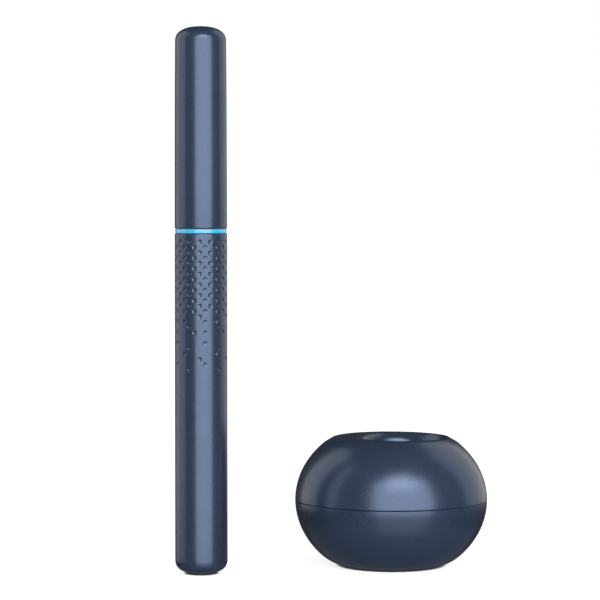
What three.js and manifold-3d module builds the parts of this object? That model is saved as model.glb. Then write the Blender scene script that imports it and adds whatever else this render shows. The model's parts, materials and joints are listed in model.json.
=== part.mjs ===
// A camera ear cleaner: a slim capped pen that stands beside its ball-shaped charging dock.
//
// Frame: millimetres, +Z up. The origin is the centre of the dock's foot, on the table. -Y is the front,
// +Y is the side with the charging socket, and +X is the side that the dock's well leans to.
import * as THREE from "three";
import { mergeVertices } from "three/addons/utils/BufferGeometryUtils.js";
import Module from "manifold-3d";

const wasm = await Module();
wasm.setup();

// ---------------------------------------------------------------- driving dimensions

const FIT = 0.05; // play between coaxial pieces that don't move
const CLEAR = 0.3; // play between pieces that move, or that meet at an angle

// Pen
const PEN_X = -51.2;
const PEN_Y = -16;
const PEN_LENGTH = 145.5;
const TAIL_RADIUS = 7.0;
const SHOULDER_RADIUS = 6.93; // at the light ring
const CROWN_RADIUS = 6.75; // at the cap's closed end
const HANDLE_WALL = 0.75;
const CAP_WALL = 0.7;
const RING_Z = 90.8;
const RING_HEIGHT = 1.15;
const RING_RECESS = 0.15;
const NECK_RADIUS = 5.15;
const TUBE_RADIUS = 1.8;
const TUBE_END_Z = 130.6;
const TIP_GRIP = 6.4; // length of lens tube that the tip's sleeve covers

// Dock
const DOCK_RADIUS = 26.2;
const DOCK_HEIGHT = 35.0;
const SEAM_Z = 17.85;
const SEAM_GAP = 0.3;
const UPPER_RISE = 21.75; // vertical half axes of the two half ellipsoids
const LOWER_RISE = 21.85;
const DOCK_WALL = 1.7;
const DOCK_BOTTOM_Z = 0.3; // the foot pad stands this far proud of the shell
const FOOT_EDGE = 13.0; // the radius at which the shell's flat underside ends
const FOOT_ROLL_Z = 3.6; // the height at which the underside's rounding meets the side
const DOCK_FLOOR_Z = 2.6;
const DECK_Z = 9.4;
const DECK_THICKNESS = 1.5;
const WELL_FLOOR_Z = 11.5;
const WELL_RADIUS = 7.55;
const CRATER_RADIUS = 12.5;
const CRATER_OFFSET = 3.0; // how far the crater's centre is from the dock's axis, towards +X
const CUP_RADIUS = 9.0; // the charging cup's outside
const CUP_HEIGHT = 13.0; // along the well's own axis, from the well's floor

const PEN_FINE = 28; // facets round the pen, the dock and the small turned parts
const DOCK_FINE = 36;
const SMALL_FINE = 16;
const TINY_FINE = 8;

// ---------------------------------------------------------------- materials

const finish = (color, roughness, metalness = 0) =>
  new THREE.MeshStandardMaterial({ color, roughness, metalness });

const material = {
  navyShell: finish(0x2c3a58, 0.38, 0.45),
  lightRing: finish(0x58c8f0, 0.3),
  blackPlastic: finish(0x17191d, 0.5),
  graphitePlastic: finish(0x3d414a, 0.55),
  whitePlastic: finish(0xdfe3e8, 0.45),
  clearTip: finish(0xe8eef5, 0.2),
  steel: finish(0xb9bdc3, 0.25, 1),
  nickel: finish(0xa7a9ad, 0.3, 1),
  gold: finish(0xd9ab55, 0.28, 1),
  rubber: finish(0x22252a, 0.9),
  battery: finish(0x3c8a5b, 0.5),
  board: finish(0x0f4d3a, 0.55),
  chip: finish(0x15161a, 0.6),
  glass: finish(0x0d1014, 0.05),
  ballast: finish(0x6a6d72, 0.6, 1),
  redWire: finish(0xb3262a, 0.6),
  blackWire: finish(0x1b1b1d, 0.6),
  flex: finish(0xb06a25, 0.45),
};

// ---------------------------------------------------------------- geometry helpers

// Twice the signed area of a closed outline.
const turnOf = (outline) =>
  outline.reduce((sum, [x, y], i) => {
    const [nextX, nextY] = outline[(i + 1) % outline.length];
    return sum + x * nextY - nextX * y;
  }, 0);

// A solid turned about Z from a closed outline of [radius, height] points.
// An outline that meets the axis starts and ends on it.
function turned(outline, segments) {
  const points = turnOf(outline) > 0 ? [...outline] : [...outline].reverse();
  const onAxis = ([radius]) => radius === 0;
  if (outline.some(onAxis)) {
    while (!(onAxis(points[0]) && onAxis(points[points.length - 1]))) points.push(points.shift());
  } else {
    points.push(points[0]);
  }
  const profile = points.map(([radius, height]) => new THREE.Vector2(radius, height));
  return new THREE.LatheGeometry(profile, segments).rotateX(Math.PI / 2);
}

// A plain disc or rod about Z, between two heights.
const rod = (radius, low, high, segments = SMALL_FINE) =>
  turned([[0, low], [radius, low], [radius, high], [0, high]], segments);

// A plain ring about Z, between two radii and two heights.
const ring = (inner, outer, low, high, segments = SMALL_FINE) =>
  turned([[inner, low], [outer, low], [outer, high], [inner, high]], segments);

// A block between two corners.
function block([x0, y0, z0], [x1, y1, z1]) {
  return new THREE.BoxGeometry(x1 - x0, y1 - y0, z1 - z0)
    .translate((x0 + x1) / 2, (y0 + y1) / 2, (z0 + z1) / 2);
}

// A flat shape raised from one height to another.
const raised = (shape, low, high, curveSegments = 8) =>
  new THREE.ExtrudeGeometry(shape, { depth: high - low, bevelEnabled: false, curveSegments })
    .translate(0, 0, low);

// A round wire through a list of points.
function wire(points, radius, steps) {
  const path = new THREE.CatmullRomCurve3(points.map((p) => new THREE.Vector3(...p)));
  const section = new THREE.Shape();
  section.absarc(0, 0, radius, 0, Math.PI * 2, false);
  return new THREE.ExtrudeGeometry(section, { extrudePath: path, steps, curveSegments: 6 });
}

// A geometry as a manifold-3d solid, and back.
function solid(geometry) {
  const bare = geometry.clone();
  bare.deleteAttribute("normal");
  bare.deleteAttribute("uv");
  const merged = mergeVertices(bare, 1e-4);
  return new wasm.Manifold(new wasm.Mesh({
    numProp: 3,
    vertProperties: merged.attributes.position.array,
    triVerts: new Uint32Array(merged.index.array),
  }));
}

function geometryOf(manifold) {
  const mesh = manifold.getMesh();
  return new THREE.BufferGeometry()
    .setAttribute("position", new THREE.BufferAttribute(mesh.vertProperties, 3))
    .setIndex(new THREE.BufferAttribute(mesh.triVerts, 1));
}

const joined = (first, ...others) =>
  geometryOf(others.reduce((sum, next) => sum.add(solid(next)), solid(first)));
const cut = (first, ...others) =>
  geometryOf(others.reduce((rest, next) => rest.subtract(solid(next)), solid(first)));
const shared = (first, second) => geometryOf(solid(first).intersect(solid(second)));

// Points of a rounded end, from its crown's flat out to its side: a superellipse
// |r / radius|^power + |h / height|^power = 1, where h falls from the height to 0.
function roundedEnd(radius, height, power, flatRadius, steps) {
  const start = Math.acos((flatRadius / radius) ** (power / 2));
  return Array.from({ length: steps + 1 }, (_, i) => {
    const angle = start * (1 - i / steps);
    return [radius * Math.cos(angle) ** (2 / power), height * Math.sin(angle) ** (2 / power)];
  });
}

// Points of an ellipse about the dock's seam, from one height to another above it.
function ellipseArc(radius, rise, from, to, steps) {
  const first = Math.asin(from / rise);
  const last = Math.asin(to / rise);
  return Array.from({ length: steps + 1 }, (_, i) => {
    const angle = first + ((last - first) * i) / steps;
    return [radius * Math.cos(angle), SEAM_Z + rise * Math.sin(angle)];
  });
}

const radians = THREE.MathUtils.degToRad;
const around = (radius, degrees) =>
  [radius * Math.cos(radians(degrees)), radius * Math.sin(radians(degrees))];

// ---------------------------------------------------------------- scene graph

const cleaner = new THREE.Group();
const pen = new THREE.Group();
const dock = new THREE.Group();
const well = new THREE.Group(); // the dock's leaning well, with its floor's centre as its origin
pen.position.set(PEN_X, PEN_Y, 0);
const WELL_LEAN = Math.atan(CRATER_OFFSET / (DOCK_HEIGHT - WELL_FLOOR_Z));
well.position.set(0, 0, WELL_FLOOR_Z);
well.rotation.y = WELL_LEAN;
cleaner.add(pen, dock);
dock.add(well);

function piece(parent, name, geometry, itsMaterial) {
  const mesh = new THREE.Mesh(geometry, itsMaterial);
  mesh.name = name;
  parent.add(mesh);
  return mesh;
}

// A leaning geometry of the well in the dock's own frame, for cutting and joining.
const leaned = (geometry) => geometry.clone().rotateY(WELL_LEAN).translate(0, 0, WELL_FLOOR_Z);

// ---------------------------------------------------------------- replaceable ear tip

const TIP_BORE = TUBE_RADIUS + 0.1;
const TIP_WALL = 0.45;
const TIP_SLEEVE = 7.0;
const TIP_LENGTH = 11.8;
const SCOOP_WIDTH = 2.4;

// A sleeve with a hooked scoop that rises from its rim. Its origin is the sleeve's open end.
function earTip() {
  const sleeve = turned([
    [TIP_BORE, 0],
    [TIP_BORE + TIP_WALL, 0],
    [TIP_BORE + TIP_WALL, TIP_SLEEVE - 1.5],
    [TIP_BORE + TIP_WALL - 0.15, TIP_SLEEVE],
    [TIP_BORE, TIP_SLEEVE],
  ], SMALL_FINE);
  const side = new THREE.Shape();
  side.moveTo(TIP_BORE, TIP_SLEEVE - 0.8);
  side.lineTo(TIP_BORE + 0.35, TIP_SLEEVE - 0.8);
  side.lineTo(TIP_BORE + 0.35, TIP_SLEEVE + 2.2);
  side.quadraticCurveTo(TIP_BORE + 0.3, TIP_LENGTH, 0.6, TIP_LENGTH);
  side.quadraticCurveTo(-0.2, TIP_LENGTH, -0.5, TIP_LENGTH - 0.7);
  side.lineTo(0, TIP_LENGTH - 0.9);
  side.quadraticCurveTo(0.3, TIP_LENGTH - 0.5, 0.7, TIP_LENGTH - 0.5);
  side.quadraticCurveTo(TIP_BORE - 0.1, TIP_LENGTH - 0.6, TIP_BORE - 0.1, TIP_SLEEVE + 2.2);
  side.closePath();
  const scoop = raised(side, -SCOOP_WIDTH / 2, SCOOP_WIDTH / 2, 4).rotateX(Math.PI / 2);
  return joined(sleeve, scoop);
}

const TIP_BASE_Z = TUBE_END_Z - TIP_GRIP;
piece(pen, "ear_tip", earTip().translate(0, 0, TIP_BASE_Z), material.clearTip);

// ---------------------------------------------------------------- pen: handle and tail

const TAIL_HEIGHT = 4.0; // how far the tail's rounding reaches up the handle
const TAIL_HOLE = 4.3;
const TAIL_FLAT = 3.4;
const BORE = SHOULDER_RADIUS - HANDLE_WALL + 0.04; // the handle's straight bore

const TAIL_LIP = 1.9; // the height at which the handle's floor clamps the tail plate
const tailRounding = roundedEnd(TAIL_RADIUS, TAIL_HEIGHT, 2.7, TAIL_HOLE, 5)
  .map(([radius, height]) => [radius, TAIL_HEIGHT - height]);
piece(pen, "handle_shell", turned([
  ...tailRounding,
  [SHOULDER_RADIUS, RING_Z - 0.15],
  [SHOULDER_RADIUS - 0.15, RING_Z],
  [BORE, RING_Z],
  [BORE, TAIL_LIP + 1.7],
  [BORE - 0.8, TAIL_LIP + 0.4],
  [TAIL_HOLE, TAIL_LIP],
], PEN_FINE), material.navyShell);

const CONTACT_DEPTH = 1.3;
const PLATE_STEP = TAIL_LIP + 0.5; // the plate's flange rests on the handle's floor
const PLATE_TOP = 3.4;
const PAD_RADIUS = 0.95;
const RAIL_INNER = 2.05;
const RAIL_OUTER = 2.95;
piece(pen, "tail_plate", turned([
  [0, CONTACT_DEPTH + FIT],
  [PAD_RADIUS + FIT, CONTACT_DEPTH + FIT],
  [PAD_RADIUS + FIT, 0],
  [RAIL_INNER - FIT, 0],
  [RAIL_INNER - FIT, CONTACT_DEPTH + FIT],
  [RAIL_OUTER + FIT, CONTACT_DEPTH + FIT],
  [RAIL_OUTER + FIT, 0],
  [TAIL_FLAT, 0],
  [TAIL_HOLE - 0.1, 0.3],
  [TAIL_HOLE - 0.1, PLATE_STEP],
  [TAIL_HOLE + 0.9, PLATE_STEP],
  [TAIL_HOLE + 0.9, PLATE_TOP],
  [0, PLATE_TOP],
], PEN_FINE), material.blackPlastic);
piece(pen, "tail_contact_pad", rod(PAD_RADIUS, FIT, CONTACT_DEPTH), material.gold);
piece(pen, "tail_contact_ring", ring(RAIL_INNER, RAIL_OUTER, FIT, CONTACT_DEPTH), material.gold);
piece(pen, "tail_magnet",
  ring(2.2, 5.2, PLATE_TOP + 0.1, PLATE_TOP + 2.1), material.nickel);

// ---------------------------------------------------------------- pen: sled, battery and boards

const SLED_OUTER = BORE - 0.15;
const SLED_INNER = SLED_OUTER - 0.75;
const SLED_LOW = 6.0;
const SLED_HIGH = 87.4;
const BATTERY_RADIUS = 5.0;
const BATTERY_LOW = 8.6;
const BATTERY_LENGTH = 44;
const BATTERY_HIGH = BATTERY_LOW + BATTERY_LENGTH;
const RIB = 0.9; // thickness
const BATTERY_BOARD_LOW = BATTERY_HIGH + 0.3;
const BATTERY_BOARD_HIGH = BATTERY_BOARD_LOW + 0.7;

// A trough on the pen's +Y side, with half-moon ribs at each end of the battery.
function sled() {
  const trough = new THREE.Shape();
  trough.absarc(0, 0, SLED_OUTER, radians(8), radians(172), false);
  trough.absarc(0, 0, SLED_INNER, radians(172), radians(8), true);
  trough.closePath();
  const moon = new THREE.Shape();
  moon.absarc(0, 0, SLED_INNER + 0.3, radians(15), radians(165), false);
  moon.closePath();
  const rib = (low) => raised(moon, low, low + RIB, 12);
  return joined(
    raised(trough, SLED_LOW, SLED_HIGH, 12),
    rib(SLED_LOW),
    rib(BATTERY_BOARD_HIGH + CLEAR),
  );
}
piece(pen, "inner_sled", sled(), material.whitePlastic);

piece(pen, "battery_cell", turned([
  [0, BATTERY_LOW],
  [BATTERY_RADIUS - 0.4, BATTERY_LOW],
  [BATTERY_RADIUS, BATTERY_LOW + 0.4],
  [BATTERY_RADIUS, BATTERY_HIGH - 0.4],
  [BATTERY_RADIUS - 0.4, BATTERY_HIGH],
  [0, BATTERY_HIGH],
], SMALL_FINE), material.battery);
piece(pen, "battery_board",
  rod(BATTERY_RADIUS - 0.3, BATTERY_BOARD_LOW, BATTERY_BOARD_HIGH), material.board);

const BOARD_LOW = 56.2;
const BOARD_HIGH = 86.6;
const BOARD_FRONT = 0.2;
const BOARD_BACK = 1.0;
const BOARD_HALF = 4.8;
piece(pen, "main_board",
  block([-BOARD_HALF, BOARD_FRONT, BOARD_LOW], [BOARD_HALF, BOARD_BACK, BOARD_HIGH]), material.board);

// Each part on the board: its half width, its thickness and its two heights.
const onFront = {
  motion_sensor: [1.3, 0.8, 59.6, 62.4, material.chip],
  processor_chip: [2.6, 0.9, 64.2, 69.4, material.chip],
  wifi_shield: [4.0, 1.3, 71.5, 79.5, material.nickel],
  camera_connector: [2.6, 0.9, 81.0, 83.2, material.whitePlastic],
  cap_switch: [0.9, 0.9, 84.4, 86.0, material.chip],
};
for (const [name, [half, thick, low, high, itsMaterial]] of Object.entries(onFront)) {
  const front = BOARD_FRONT - FIT;
  piece(pen, name, block([-half, front - thick, low], [half, front, high]), itsMaterial);
}
const CHARGER_BACK = BOARD_BACK + FIT;
piece(pen, "charger_chip",
  block([-1.5, CHARGER_BACK, 57.5], [1.5, CHARGER_BACK + 0.8, 60.5]), material.chip);

// Two wires run from the tail's contacts, through the magnet and past the battery, to the board.
const WIRE_RADIUS = 0.35;
const WIRE_LANE = 5.45; // midway between the battery and the handle
function chargeWire(side) {
  return wire([
    [side * 0.75, 0, 3.8],
    [side * 0.8, -0.4, 5.8],
    [side * 0.9, -2.4, 6.8],
    [side * 1.1, -4.4, 7.0],
    [side * 1.2, -WIRE_LANE, 8.6],
    [side * 1.2, -WIRE_LANE, 11],
    [side * 1.2, -WIRE_LANE, 30],
    [side * 1.2, -WIRE_LANE, 52],
    [side * 1.3, -WIRE_LANE, 53.8],
    [side * 1.6, -3.4, 55.6],
    [side * 1.8, -1.0, 56.6],
    [side * 1.9, -0.5, 58.0],
  ], WIRE_RADIUS, 24);
}
piece(pen, "charge_wire_red", chargeWire(-1), material.redWire);
piece(pen, "charge_wire_black", chargeWire(1), material.blackWire);

// ---------------------------------------------------------------- pen: light ring and neck

const RING_TOP = RING_Z + RING_HEIGHT;
const RING_BORE = 4.9;
const LED_BOARD_LOW = RING_Z - 3.1;
const LED_BOARD_HIGH = LED_BOARD_LOW + 0.6;
const LED_CIRCLE = 4.9;
piece(pen, "ring_led_board", ring(3.4, 5.6, LED_BOARD_LOW, LED_BOARD_HIGH), material.board);
[90, 210, 330].forEach((degrees, i) => {
  const [x, y] = around(LED_CIRCLE, degrees);
  const lamp = block([-0.8, -0.4, 0], [0.8, 0.4, 0.7]);
  const led = piece(pen, `ring_led_${i + 1}`, lamp, material.whitePlastic);
  led.position.set(x, y, LED_BOARD_HIGH + FIT);
});
piece(pen, "light_ring", turned([
  [RING_BORE, RING_Z - 1.0],
  [BORE - 0.1, RING_Z - 1.0],
  [BORE - 0.1, RING_Z + FIT],
  [SHOULDER_RADIUS - RING_RECESS, RING_Z + FIT],
  [SHOULDER_RADIUS - RING_RECESS, RING_TOP - FIT],
  [RING_BORE, RING_TOP - FIT],
], PEN_FINE), material.lightRing);

const NECK_FOOT = RING_Z - 1.5;
const NECK_BORE = 3.5;
const SHOULDER_TOP = 98.4; // the neck tapers above this
const NECK_TOP = 107.5;
const TUBE_LOW = 97.0; // the lens tube's seat in the neck
const GROOVE_LOW = 94.4;
const GROOVE_HIGH = 95.6;
const GROOVE_RADIUS = 4.4;
piece(pen, "neck", turned([
  [NECK_BORE, NECK_FOOT],
  [RING_BORE - 0.1, NECK_FOOT],
  [RING_BORE - 0.1, RING_TOP],
  [NECK_RADIUS, RING_TOP],
  [NECK_RADIUS, GROOVE_LOW],
  [GROOVE_RADIUS, GROOVE_LOW],
  [GROOVE_RADIUS, GROOVE_HIGH],
  [NECK_RADIUS, GROOVE_HIGH],
  [NECK_RADIUS, SHOULDER_TOP],
  [NECK_RADIUS - 0.4, SHOULDER_TOP + 0.5],
  [3.6, SHOULDER_TOP + 3.2],
  [2.7, SHOULDER_TOP + 6.2],
  [2.4, NECK_TOP],
  [TUBE_RADIUS + FIT, NECK_TOP],
  [TUBE_RADIUS + FIT, TUBE_LOW],
  [NECK_BORE, TUBE_LOW - 1.1],
], PEN_FINE), material.blackPlastic);
const ORING_SECTION = 0.48;
piece(pen, "cap_oring",
  new THREE.TorusGeometry(GROOVE_RADIUS + FIT + ORING_SECTION, ORING_SECTION, 6, PEN_FINE)
    .translate(0, 0, (GROOVE_LOW + GROOVE_HIGH) / 2), material.rubber);

// ---------------------------------------------------------------- pen: lens tube and camera

const TUBE_BORE = TUBE_RADIUS - 0.35;
const BARREL_RADIUS = 1.0;
const LENS_RADIUS = 0.7;
const BARREL_LENGTH = 3.6;
piece(pen, "lens_tube",
  ring(TUBE_BORE, TUBE_RADIUS, TUBE_LOW + 0.2, TUBE_END_Z), material.steel);
piece(pen, "light_guide",
  ring(BARREL_RADIUS + FIT, TUBE_BORE - FIT, TUBE_END_Z - 2.0, TUBE_END_Z + 0.1), material.clearTip);
piece(pen, "lens_barrel", ring(
  LENS_RADIUS + FIT, BARREL_RADIUS, TUBE_END_Z - BARREL_LENGTH, TUBE_END_Z, TINY_FINE,
), material.blackPlastic);
piece(pen, "front_lens", turned([
  [0, TUBE_END_Z - 1.0],
  [LENS_RADIUS, TUBE_END_Z - 1.0],
  [LENS_RADIUS, TUBE_END_Z - 0.2],
  [LENS_RADIUS * 0.7, TUBE_END_Z],
  [0, TUBE_END_Z + 0.1],
], TINY_FINE), material.glass);
const SENSOR_LOW = TUBE_END_Z - BARREL_LENGTH - 1.1;
piece(pen, "image_sensor",
  block([-0.7, -0.7, SENSOR_LOW], [0.7, 0.7, SENSOR_LOW + 1.0]), material.chip);
piece(pen, "camera_flex",
  block([-0.8, -0.95, 81.2], [0.8, -0.8, SENSOR_LOW - FIT]), material.flex);

// ---------------------------------------------------------------- cap

const CAP_MOUTH_Z = RING_TOP + 0.2;
const CAP_TAPER_Z = 120; // the cap narrows more quickly above this
const BORE_TOP = PEN_LENGTH - 4.7; // where the cap's straight bore ends
const CROWN_HEIGHT = 3.9;
const CAP_BORE = SHOULDER_RADIUS - CAP_WALL - 0.16;
const LINER_BORE = NECK_RADIUS + 0.35;
const MAGNET_LOW = CAP_MOUTH_Z + 0.25;
const MAGNET_HIGH = MAGNET_LOW + 2.0;
const crown = roundedEnd(CROWN_RADIUS, CROWN_HEIGHT, 2.35, 1.4, 6)
  .map(([radius, height]) => [radius, PEN_LENGTH - CROWN_HEIGHT + height]);
piece(pen, "cap_shell", turned([
  [0, PEN_LENGTH - 1.0],
  [4.0, PEN_LENGTH - 1.3],
  [5.6, PEN_LENGTH - 2.3],
  [CAP_BORE, BORE_TOP],
  [CAP_BORE, CAP_MOUTH_Z],
  [SHOULDER_RADIUS - 0.15, CAP_MOUTH_Z],
  [SHOULDER_RADIUS, CAP_MOUTH_Z + 0.15],
  [SHOULDER_RADIUS - 0.06, CAP_TAPER_Z],
  ...crown.reverse(),
  [0, PEN_LENGTH],
], PEN_FINE), material.navyShell);
piece(pen, "cap_magnet",
  ring(LINER_BORE, CAP_BORE - FIT, MAGNET_LOW, MAGNET_HIGH, PEN_FINE), material.nickel);
piece(pen, "cap_liner", turned([
  [LINER_BORE, MAGNET_HIGH + 0.1],
  [CAP_BORE - FIT, MAGNET_HIGH + 0.1],
  [CAP_BORE - FIT, BORE_TOP - CLEAR],
  [5.3, BORE_TOP + 2.1],
  [3.9, BORE_TOP + 2.8],
  [0, BORE_TOP + 3.0],
  [0, BORE_TOP + 2.5],
  [3.6, BORE_TOP + 2.3],
  [4.8, BORE_TOP + 1.6],
  [LINER_BORE, BORE_TOP - 0.4],
], PEN_FINE), material.blackPlastic);

// ---------------------------------------------------------------- dock: lower shell and foot

const PAD = 12.0;
const PAD_TOP = 1.1;
const BOSS_CIRCLE = 17;
const BOSS_RADIUS = 2.2;
const BOSS_ANGLES = [270, 30, 150];
const PORT_Z = 6.6;
const PORT_FACE_Y = 20.0; // the flat at the back of the socket's recess
const PORT_HALF_WIDTH = 5.9;
const PORT_HALF_HEIGHT = 2.5;
const SOCKET_HALF_WIDTH = 4.47;
const SOCKET_HALF_HEIGHT = 1.6;
const SOCKET_BACK = 13.0;
const BOSS_TOP = DECK_Z - CLEAR;

// A slot with round ends, seen along Y, from one depth to another.
function slotAlongY(halfWidth, halfHeight, near, far) {
  const slot = new THREE.Shape();
  const centre = halfWidth - halfHeight;
  slot.absarc(centre, 0, halfHeight, -Math.PI / 2, Math.PI / 2, false);
  slot.absarc(-centre, 0, halfHeight, Math.PI / 2, -Math.PI / 2, false);
  slot.closePath();
  return raised(slot, near, far, 5).rotateX(-Math.PI / 2);
}

// Points from the flat underside's edge up to a point of the side, which they meet without a kink.
function footRounding([radius, height], steps) {
  const slope = ((DOCK_RADIUS / LOWER_RISE) ** 2 * (SEAM_Z - height)) / radius;
  const curve = new THREE.QuadraticBezierCurve(
    new THREE.Vector2(FOOT_EDGE, DOCK_BOTTOM_Z),
    new THREE.Vector2(radius - slope * (height - DOCK_BOTTOM_Z), DOCK_BOTTOM_Z),
    new THREE.Vector2(radius, height),
  );
  return curve.getPoints(steps).slice(0, steps).map(({ x, y }) => [x, y]);
}

const lowerSide = ellipseArc(DOCK_RADIUS, LOWER_RISE, FOOT_ROLL_Z - SEAM_Z, -SEAM_GAP / 2, 6);
const lowerOutside = [...footRounding(lowerSide[0], 4), ...lowerSide];
const lowerInside = ellipseArc(
  DOCK_RADIUS - DOCK_WALL, LOWER_RISE - DOCK_WALL, DOCK_FLOOR_Z - SEAM_Z, -SEAM_GAP / 2, 5);

function lowerShell() {
  const bowl = turned([
    [0, PAD_TOP + FIT],
    [PAD + FIT, PAD_TOP + FIT],
    [PAD + FIT, DOCK_BOTTOM_Z],
    ...lowerOutside,
    ...lowerInside.reverse(),
    [0, DOCK_FLOOR_Z],
  ], DOCK_FINE);
  const outline = turned([
    [0, DOCK_BOTTOM_Z],
    ...lowerOutside,
    [0, SEAM_Z - SEAM_GAP / 2],
  ], DOCK_FINE);
  const portBlock = shared(
    block([-7.4, PORT_FACE_Y - 3, DOCK_FLOOR_Z - 0.5], [7.4, DOCK_RADIUS, BOSS_TOP]), outline);
  const boss = ([x, y]) => shared(
    rod(BOSS_RADIUS, DOCK_FLOOR_Z - 0.5, BOSS_TOP, TINY_FINE).translate(x, y, 0), outline);
  const pilot = ([x, y]) => rod(0.8, BOSS_TOP - 4.2, DECK_Z, TINY_FINE).translate(x, y, 0);
  const places = BOSS_ANGLES.map((degrees) => around(BOSS_CIRCLE, degrees));
  const recess = slotAlongY(PORT_HALF_WIDTH, PORT_HALF_HEIGHT, PORT_FACE_Y, DOCK_RADIUS + 1);
  const socketHole = slotAlongY(
    SOCKET_HALF_WIDTH + 0.1, SOCKET_HALF_HEIGHT + 0.1, PORT_FACE_Y - 5, PORT_FACE_Y + 1);
  const shell = joined(bowl, portBlock, ...places.map(boss));
  return cut(shell, ...places.map(pilot),
    recess.translate(0, 0, PORT_Z), socketHole.translate(0, 0, PORT_Z));
}
piece(dock, "dock_lower_shell", lowerShell(), material.navyShell);
piece(dock, "foot_pad", turned([
  [0, 0],
  [PAD - 0.3, 0],
  [PAD, 0.3],
  [PAD, PAD_TOP],
  [0, PAD_TOP],
], DOCK_FINE), material.rubber);

// ---------------------------------------------------------------- dock: ballast and charging board

const BALLAST_INNER = 8.3;
const BALLAST_OUTER = 14.3;
const BALLAST_GAP = 44; // degrees each side of +Y, where the charging board lies
function ballast() {
  const [start, end] = [90 + BALLAST_GAP, 450 - BALLAST_GAP].map(radians);
  const horseshoe = new THREE.Shape();
  horseshoe.absarc(0, 0, BALLAST_OUTER, start, end, false);
  horseshoe.absarc(0, 0, BALLAST_INNER, end, start, true);
  horseshoe.closePath();
  return raised(horseshoe, DOCK_FLOOR_Z + 0.2, DECK_Z - 0.8, 14);
}
piece(dock, "ballast", ballast(), material.ballast);

const CHARGE_BOARD_TOP = PORT_Z - SOCKET_HALF_HEIGHT - 0.2;
piece(dock, "charge_board",
  block([-5, 8.6, CHARGE_BOARD_TOP - 0.8], [5, 15.6, CHARGE_BOARD_TOP]), material.board);
const SOCKET_WALL = 0.3;
function socketShell() {
  const outside = slotAlongY(SOCKET_HALF_WIDTH, SOCKET_HALF_HEIGHT, SOCKET_BACK, PORT_FACE_Y - 0.1);
  const inside = slotAlongY(
    SOCKET_HALF_WIDTH - SOCKET_WALL, SOCKET_HALF_HEIGHT - SOCKET_WALL, SOCKET_BACK + 0.6, PORT_FACE_Y + 1);
  return cut(outside, inside).translate(0, 0, PORT_Z);
}
piece(dock, "usb_socket", socketShell(), material.steel);
const TONGUE = { halfWidth: 3.3, halfHeight: 0.35, short: 0.9 }; // short: behind the socket's mouth
piece(dock, "usb_tongue", block(
  [-TONGUE.halfWidth, SOCKET_BACK + 0.65, PORT_Z - TONGUE.halfHeight],
  [TONGUE.halfWidth, PORT_FACE_Y - TONGUE.short, PORT_Z + TONGUE.halfHeight],
), material.blackPlastic);

// ---------------------------------------------------------------- dock: deck, screws and spare tips

const DECK_TOP = DECK_Z + DECK_THICKNESS;
const DECK_RADIUS = 21.3;
const POST_RADIUS = 1.65;
const POST_HEIGHT = 3;
const SPARE_CIRCLE = 15.8;
const SPARE_ANGLES = [60, 120, 225, 315];

function deck() {
  const plate = turned([
    [0, DECK_Z],
    [DECK_RADIUS, DECK_Z],
    [DECK_RADIUS, DECK_TOP],
    [0, DECK_TOP],
  ], DOCK_FINE);
  const post = ([x, y]) => turned([
    [0, DECK_TOP - 0.5],
    [POST_RADIUS, DECK_TOP - 0.5],
    [POST_RADIUS, DECK_TOP + POST_HEIGHT - 0.5],
    [POST_RADIUS - 0.5, DECK_TOP + POST_HEIGHT],
    [0, DECK_TOP + POST_HEIGHT],
  ], TINY_FINE).translate(x, y, 0);
  const screwHole = ([x, y]) => turned([
    [0, DECK_Z - 1],
    [1.15, DECK_Z - 1],
    [1.15, DECK_TOP - 0.7],
    [2.1, DECK_TOP - 0.7],
    [2.1, DECK_TOP + 1],
    [0, DECK_TOP + 1],
  ], TINY_FINE).translate(x, y, 0);
  const cupHole = leaned(rod(CUP_RADIUS + CLEAR, -6, 6, PEN_FINE));
  return cut(
    joined(plate, ...SPARE_ANGLES.map((degrees) => post(around(SPARE_CIRCLE, degrees)))),
    cupHole, ...BOSS_ANGLES.map((degrees) => screwHole(around(BOSS_CIRCLE, degrees))),
  );
}
piece(dock, "storage_deck", deck(), material.graphitePlastic);

// A pan-head screw whose head's underside is at the origin.
function screw() {
  const body = turned([
    [0, -4.6],
    [0.45, -4.6],
    [0.7, -4.0],
    [0.7, 0],
    [1.8, 0],
    [1.7, 0.7],
    [1.0, 1.0],
    [0, 1.05],
  ], TINY_FINE);
  const arm = (turn) => block([-1.1, -0.2, 0.45], [1.1, 0.2, 2]).rotateZ(turn);
  return cut(body, arm(0), arm(Math.PI / 2));
}
BOSS_ANGLES.forEach((degrees, i) => {
  const [x, y] = around(BOSS_CIRCLE, degrees);
  piece(dock, `deck_screw_${i + 1}`, screw(), material.steel).position.set(x, y, DECK_TOP - 0.65);
});
SPARE_ANGLES.forEach((degrees, i) => {
  const [x, y] = around(SPARE_CIRCLE, degrees);
  const tip = piece(dock, `spare_tip_${i + 1}`, earTip().rotateZ(radians(degrees)), material.clearTip);
  tip.position.set(x, y, DECK_TOP + 0.1);
});

// ---------------------------------------------------------------- dock: leaning charging cup

const FLANGE_RADIUS = 10.4;
const PIN_PLACES = { centre: 0, outer: (RAIL_INNER + RAIL_OUTER) / 2 };

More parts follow.
